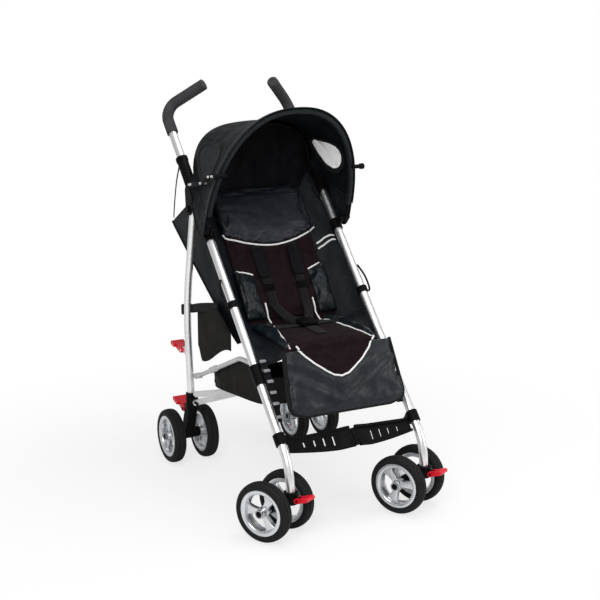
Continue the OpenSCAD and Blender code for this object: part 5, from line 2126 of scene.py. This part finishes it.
    def basket_point(self, turn: float, k: float) -> Vector:
        """A point of the basket's cloth, k from the rim to the middle of its floor."""
        q = math.radians(turn)
        down, inward = min(1.0, k / self.wall), max(0.0, (k - self.wall) / (1 - self.wall))
        g = 1 - 0.05 * down if k < self.wall else 0.95 * (1 - inward) + 0.01
        c, s = math.cos(q), math.sin(q)
        cx, cy = math.copysign(abs(c) ** 0.3, c), math.copysign(abs(s) ** 0.3, s)
        bulge = 30.0 * max(0.0, cy) ** 6 * math.sin(math.pi / 2 * clamp(k / 0.5)) * clamp((1 - k) / 0.4)
        y = 43.0 + 176.5 * g * cy + bulge
        low = mix(266.0, 226.0, (y + 136.0) / 358.0) - 5.0 * math.sin(math.pi / 2 * inward)
        if y > -10.0:
            top = mix(364.0, 248.0, (y + 10.0) / 262.0) - 2
        else:
            top = mix(364.0, 334.0, (-10.0 - y) / 126.0) - 2
        soft = math.sin(math.pi * down)
        x = 158.0 * g * cx + soft * (2.5 * math.sin(9 * q) * cx + 4.0 * ripple(cx * 2.0, cy * 3.0, k * 4.0))
        return self.shop.skeleton.at(x, y, mix(low, top, (1 - down) ** 1.2) + 1.2)

    def basket(self) -> None:
        """The hanging basket and its bound rim."""
        bm = grid(lambda u, v: self.basket_point(360.0 * u, v), 120, 30, (1.3, 0.3))
        bmesh.ops.remove_doubles(bm, verts=bm.verts[:], dist=10 * WELD)
        obj = self.shop.piece("basket_cloth", bm, Finish.BASKET_CLOTH, 60.0)
        self.shop.thicken(obj, 1.8)
        self.shop.dress(obj, "frame_right", "shell_cloth", "basket")
        edge = [self.basket_point(3.0 * i, 0.0) for i in range(120)]
        rim = self.shop.piece("basket_rim", rod(edge, 2.6 * MM, 8, True), Finish.BINDING)
        self.shop.dress(rim, "frame_right", "webbing")


@dataclass
class Harness:
    """The five-point harness and the straps of the frame.

    Attributes:
        shop: The workshop.
        seat: The cushions that the harness lies on.
        web: Width of the webbing.
    """

    shop: Workshop
    seat: Seat
    web: float = 25.0

    def build(self) -> None:
        """Make the straps, pads, adjusters and buckle."""
        for side in Side:
            self.shoulder(side)
        self.lap()
        self.buckle()
        for side in Side:
            self.ladder(side)
            self.leg_strap(side)
            self.recline_strap(side)

    def lean(self, p: Vector) -> float:
        """How far a point of the harness follows the backrest."""
        return smooth((self.shop.skeleton.up_back(p) - 40.0) / 50.0)

    def strap(self, name: str, line: list[Vector], face: Vector, width: float, thick: float, body: str,
              *nodes: str) -> Piece:
        """A strap of webbing on a body.

        Args:
            name: Its name.
            line: Its middle line.
            face: The way that it looks.
            width: Its width in millimetres.
            thick: Its thickness in millimetres.
            body: The body that carries it.
            nodes: The CAD nodes that it stands for.

        Returns:
            The strap.
        """
        bm = self.shop.ribbon(line, [face] * len(line), lambda v: width)
        obj = self.shop.cloth(name, bm, Finish.STRAP, thick)
        return self.shop.ride(obj, body, "webbing", *nodes)

    def shoulder(self, side: Side) -> None:
        """One shoulder strap with its pad and adjuster."""
        sk = self.shop.skeleton
        under = [self.seat.cushions[k] for k in ("back", f"side_{side.label}", "seat")]
        into = sk.into_back
        spots = [sk.back(side.value * mix(54, 46, i / 14), mix(266, 96, i / 14), 14.0) for i in range(15)]
        line = self.shop.laid(spots, into, 2.4, *under)
        line += [sk.at(side.value * x, y, z) for x, y, z in ((40, 4, 470), (28, -24, 456), (16, -46, 452))]
        line = eased(line, 3)
        face = -into
        nodes = ("harness",) if side is Side.RIGHT else ()
        obj = self.strap(f"shoulder_strap_{side.label}", line, face, self.web, 1.8, "frame_right", *nodes)
        self.shop.follow(obj, "backrest", self.lean)
        self.shop.gather(obj)
        run = [p + face * 0.0036 for p in line[2:24]]
        bm = self.shop.ribbon(run, [face] * len(run), lambda v: 36.0 * (0.72 + 0.28 * bump(2 * v - 1, 6)), 8)
        pad = self.shop.cloth(f"shoulder_pad_{side.label}", bm, Finish.HOOD_LINING, 6.0)
        self.shop.finer(pad)
        self.shop.dress(pad, "frame_right", "pad_cloth", tied=("backrest", self.lean))
        place = facing(ACROSS, line[30] + face * 0.004)
        square = ((-2.0, -2.0), (2.0, -2.0), (2.0, 2.0), (-2.0, 2.0))
        bars = [
            plate(square, 30.0, 0.8, place @ Matrix.Translation((0, dy * MM * 0.59, dy * MM * 0.81)))
            for dy in (-7.0, 0.0, 7.0)
        ]
        slide = self.shop.piece(f"strap_adjuster_{side.label}", joined(*bars), Finish.BLACK_PLASTIC)
        self.shop.dress(slide, "frame_right", "black_plastic", tied=("backrest", self.lean))

    def lap(self) -> None:
        """The lap straps and the crotch strap."""
        sk = self.shop.skeleton
        under = [self.seat.cushions[k] for k in ("seat", "seat_side_right", "seat_side_left")]
        spots = [sk.at(x, -62 + 10 * (x / 110) ** 2, 450) for x in range(-112, 113, 8)]
        line = self.shop.laid(spots, DOWN, 2.2, *under)
        self.shop.gather(self.strap("lap_strap", line, -DOWN, self.web, 1.8, "frame_right"))
        spots = [sk.at(0, y, 450) for y in range(-66, -151, -6)]
        line = self.shop.laid(spots, DOWN, 2.0, *under)
        self.shop.gather(self.strap("crotch_strap", line, -DOWN, self.web + 4, 2.2, "frame_right"))

    def buckle(self) -> None:
        """The harness buckle with its push button."""
        sk = self.shop.skeleton
        flat = Matrix.Rotation(math.radians(-90), 4, "Y")
        outline = [(-21 + 3 * (abs(z) > 20), z) for z in (-24, -20, 20, 24)]
        outline += [(21 - 5 * (abs(z) > 16), z) for z in (24, 16, -16, -24)]
        shell = plate(outline, 14.0, 3.5, Matrix.Translation(sk.at(0, -64, 454)) @ flat)
        dished = ((-2.0, 9.5), (0.6, 9.5), (1.4, 8.6), (0.8, 0.0))
        button = spun(dished, Matrix.Translation(sk.at(0, -64, 461)) @ flat, 32)
        obj = self.shop.piece("harness_buckle", shell, Finish.BLACK_PLASTIC)
        self.shop.dress(obj, "frame_right", "black_plastic", "buckle")
        knob = self.shop.piece("harness_button", button, Finish.BLACK_PLASTIC)
        self.shop.dress(knob, "frame_right", "black_plastic")

    def ladder(self, side: Side) -> None:
        """The strap with light rungs beside the leg rest."""
        sk = self.shop.skeleton
        x = side.value * 172.0
        points = [(-146, 398), (-176, 374), (-204, 340), (-226, 304), (-247, 264)]
        line = eased([sk.at(x, y, z) for y, z in points], 6)
        face = Vector((0, -0.75, 0.65))
        self.strap(f"rest_strap_{side.label}", line, face, 16.0, 2.0, f"frame_{side.label}")
        rungs = []
        for i in range(2, 24, 4):
            place = facing(ACROSS, line[i] + face * 0.004)
            rungs.append(plate(((-4.5, -3.0), (4.5, -3.0), (4.5, 3.0), (-4.5, 3.0)), 15.0, 1.2, place))
        obj = self.shop.piece(f"rest_rungs_{side.label}", joined(*rungs), Finish.GREY_PLASTIC)
        self.shop.ride(obj, f"frame_{side.label}", "black_plastic")

    def leg_strap(self, side: Side) -> None:
        """The strap from the rear leg forward to the side of the seat."""
        sk = self.shop.skeleton
        out = Vector((side.value, 0, 0))
        spots = ((180.0, 296.0, 432.0), (180.0, 262.0, 438.0), (176.0, 210.0, 452.0), (166.0, 123.0, 470.0))
        line = eased([sk.at(side.value * x, y, z) for x, y, z in spots], 8)
        obj = self.strap(f"leg_strap_{side.label}", line, out, 24.0, 2.4, "frame_right")
        self.shop.gather(obj)
        place = facing(Vector((0, 0.02, 1)), sk.at(side.value * sk.rear_x, 280.5, 433))
        ring = spun(drum(-13.0, 13.0, 10.3, 12.8, 1.0, 0.8), place, 40, True)
        loop = self.shop.piece(f"leg_strap_loop_{side.label}", ring, Finish.STRAP)
        self.shop.ride(loop, f"rear_{side.label}", "webbing")

    def recline_strap(self, side: Side) -> None:
        """The thin strap from the joint down to the pocket behind the backrest."""
        sk = self.shop.skeleton
        spots = ((184.0, 314.0, 838.0), (188.0, 334.0, 782.0), (187.0, 354.0, 722.0), (177.0, 388.0, 672.0))
        line = eased([sk.at(side.value * x, y, z) for x, y, z in spots], 8)
        out = Vector((side.value, 0.3, 0))
        obj = self.strap(f"recline_strap_{side.label}", line, out, 12.0, 1.6, "frame_right")
        self.shop.follow(obj, "backrest", lambda p: smooth((800.0 - p.z) / 120.0))
        self.shop.gather(obj)


def main() -> None:
    """Build the stroller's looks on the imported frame, in order."""
    logging.basicConfig(level=logging.INFO, format="%(name)s: %(message)s")
    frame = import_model()
    shop = Workshop(frame)
    Studio(shop).build()
    TubeFrame(shop).build()
    Wheels(shop).build()
    Hood(shop).build()
    seat = Seat(shop)
    seat.build()
    Sides(shop).build()
    Harness(shop, seat).build()
    LOG.info("%d pieces", shop.count)


if __name__ == "__main__":
    main()
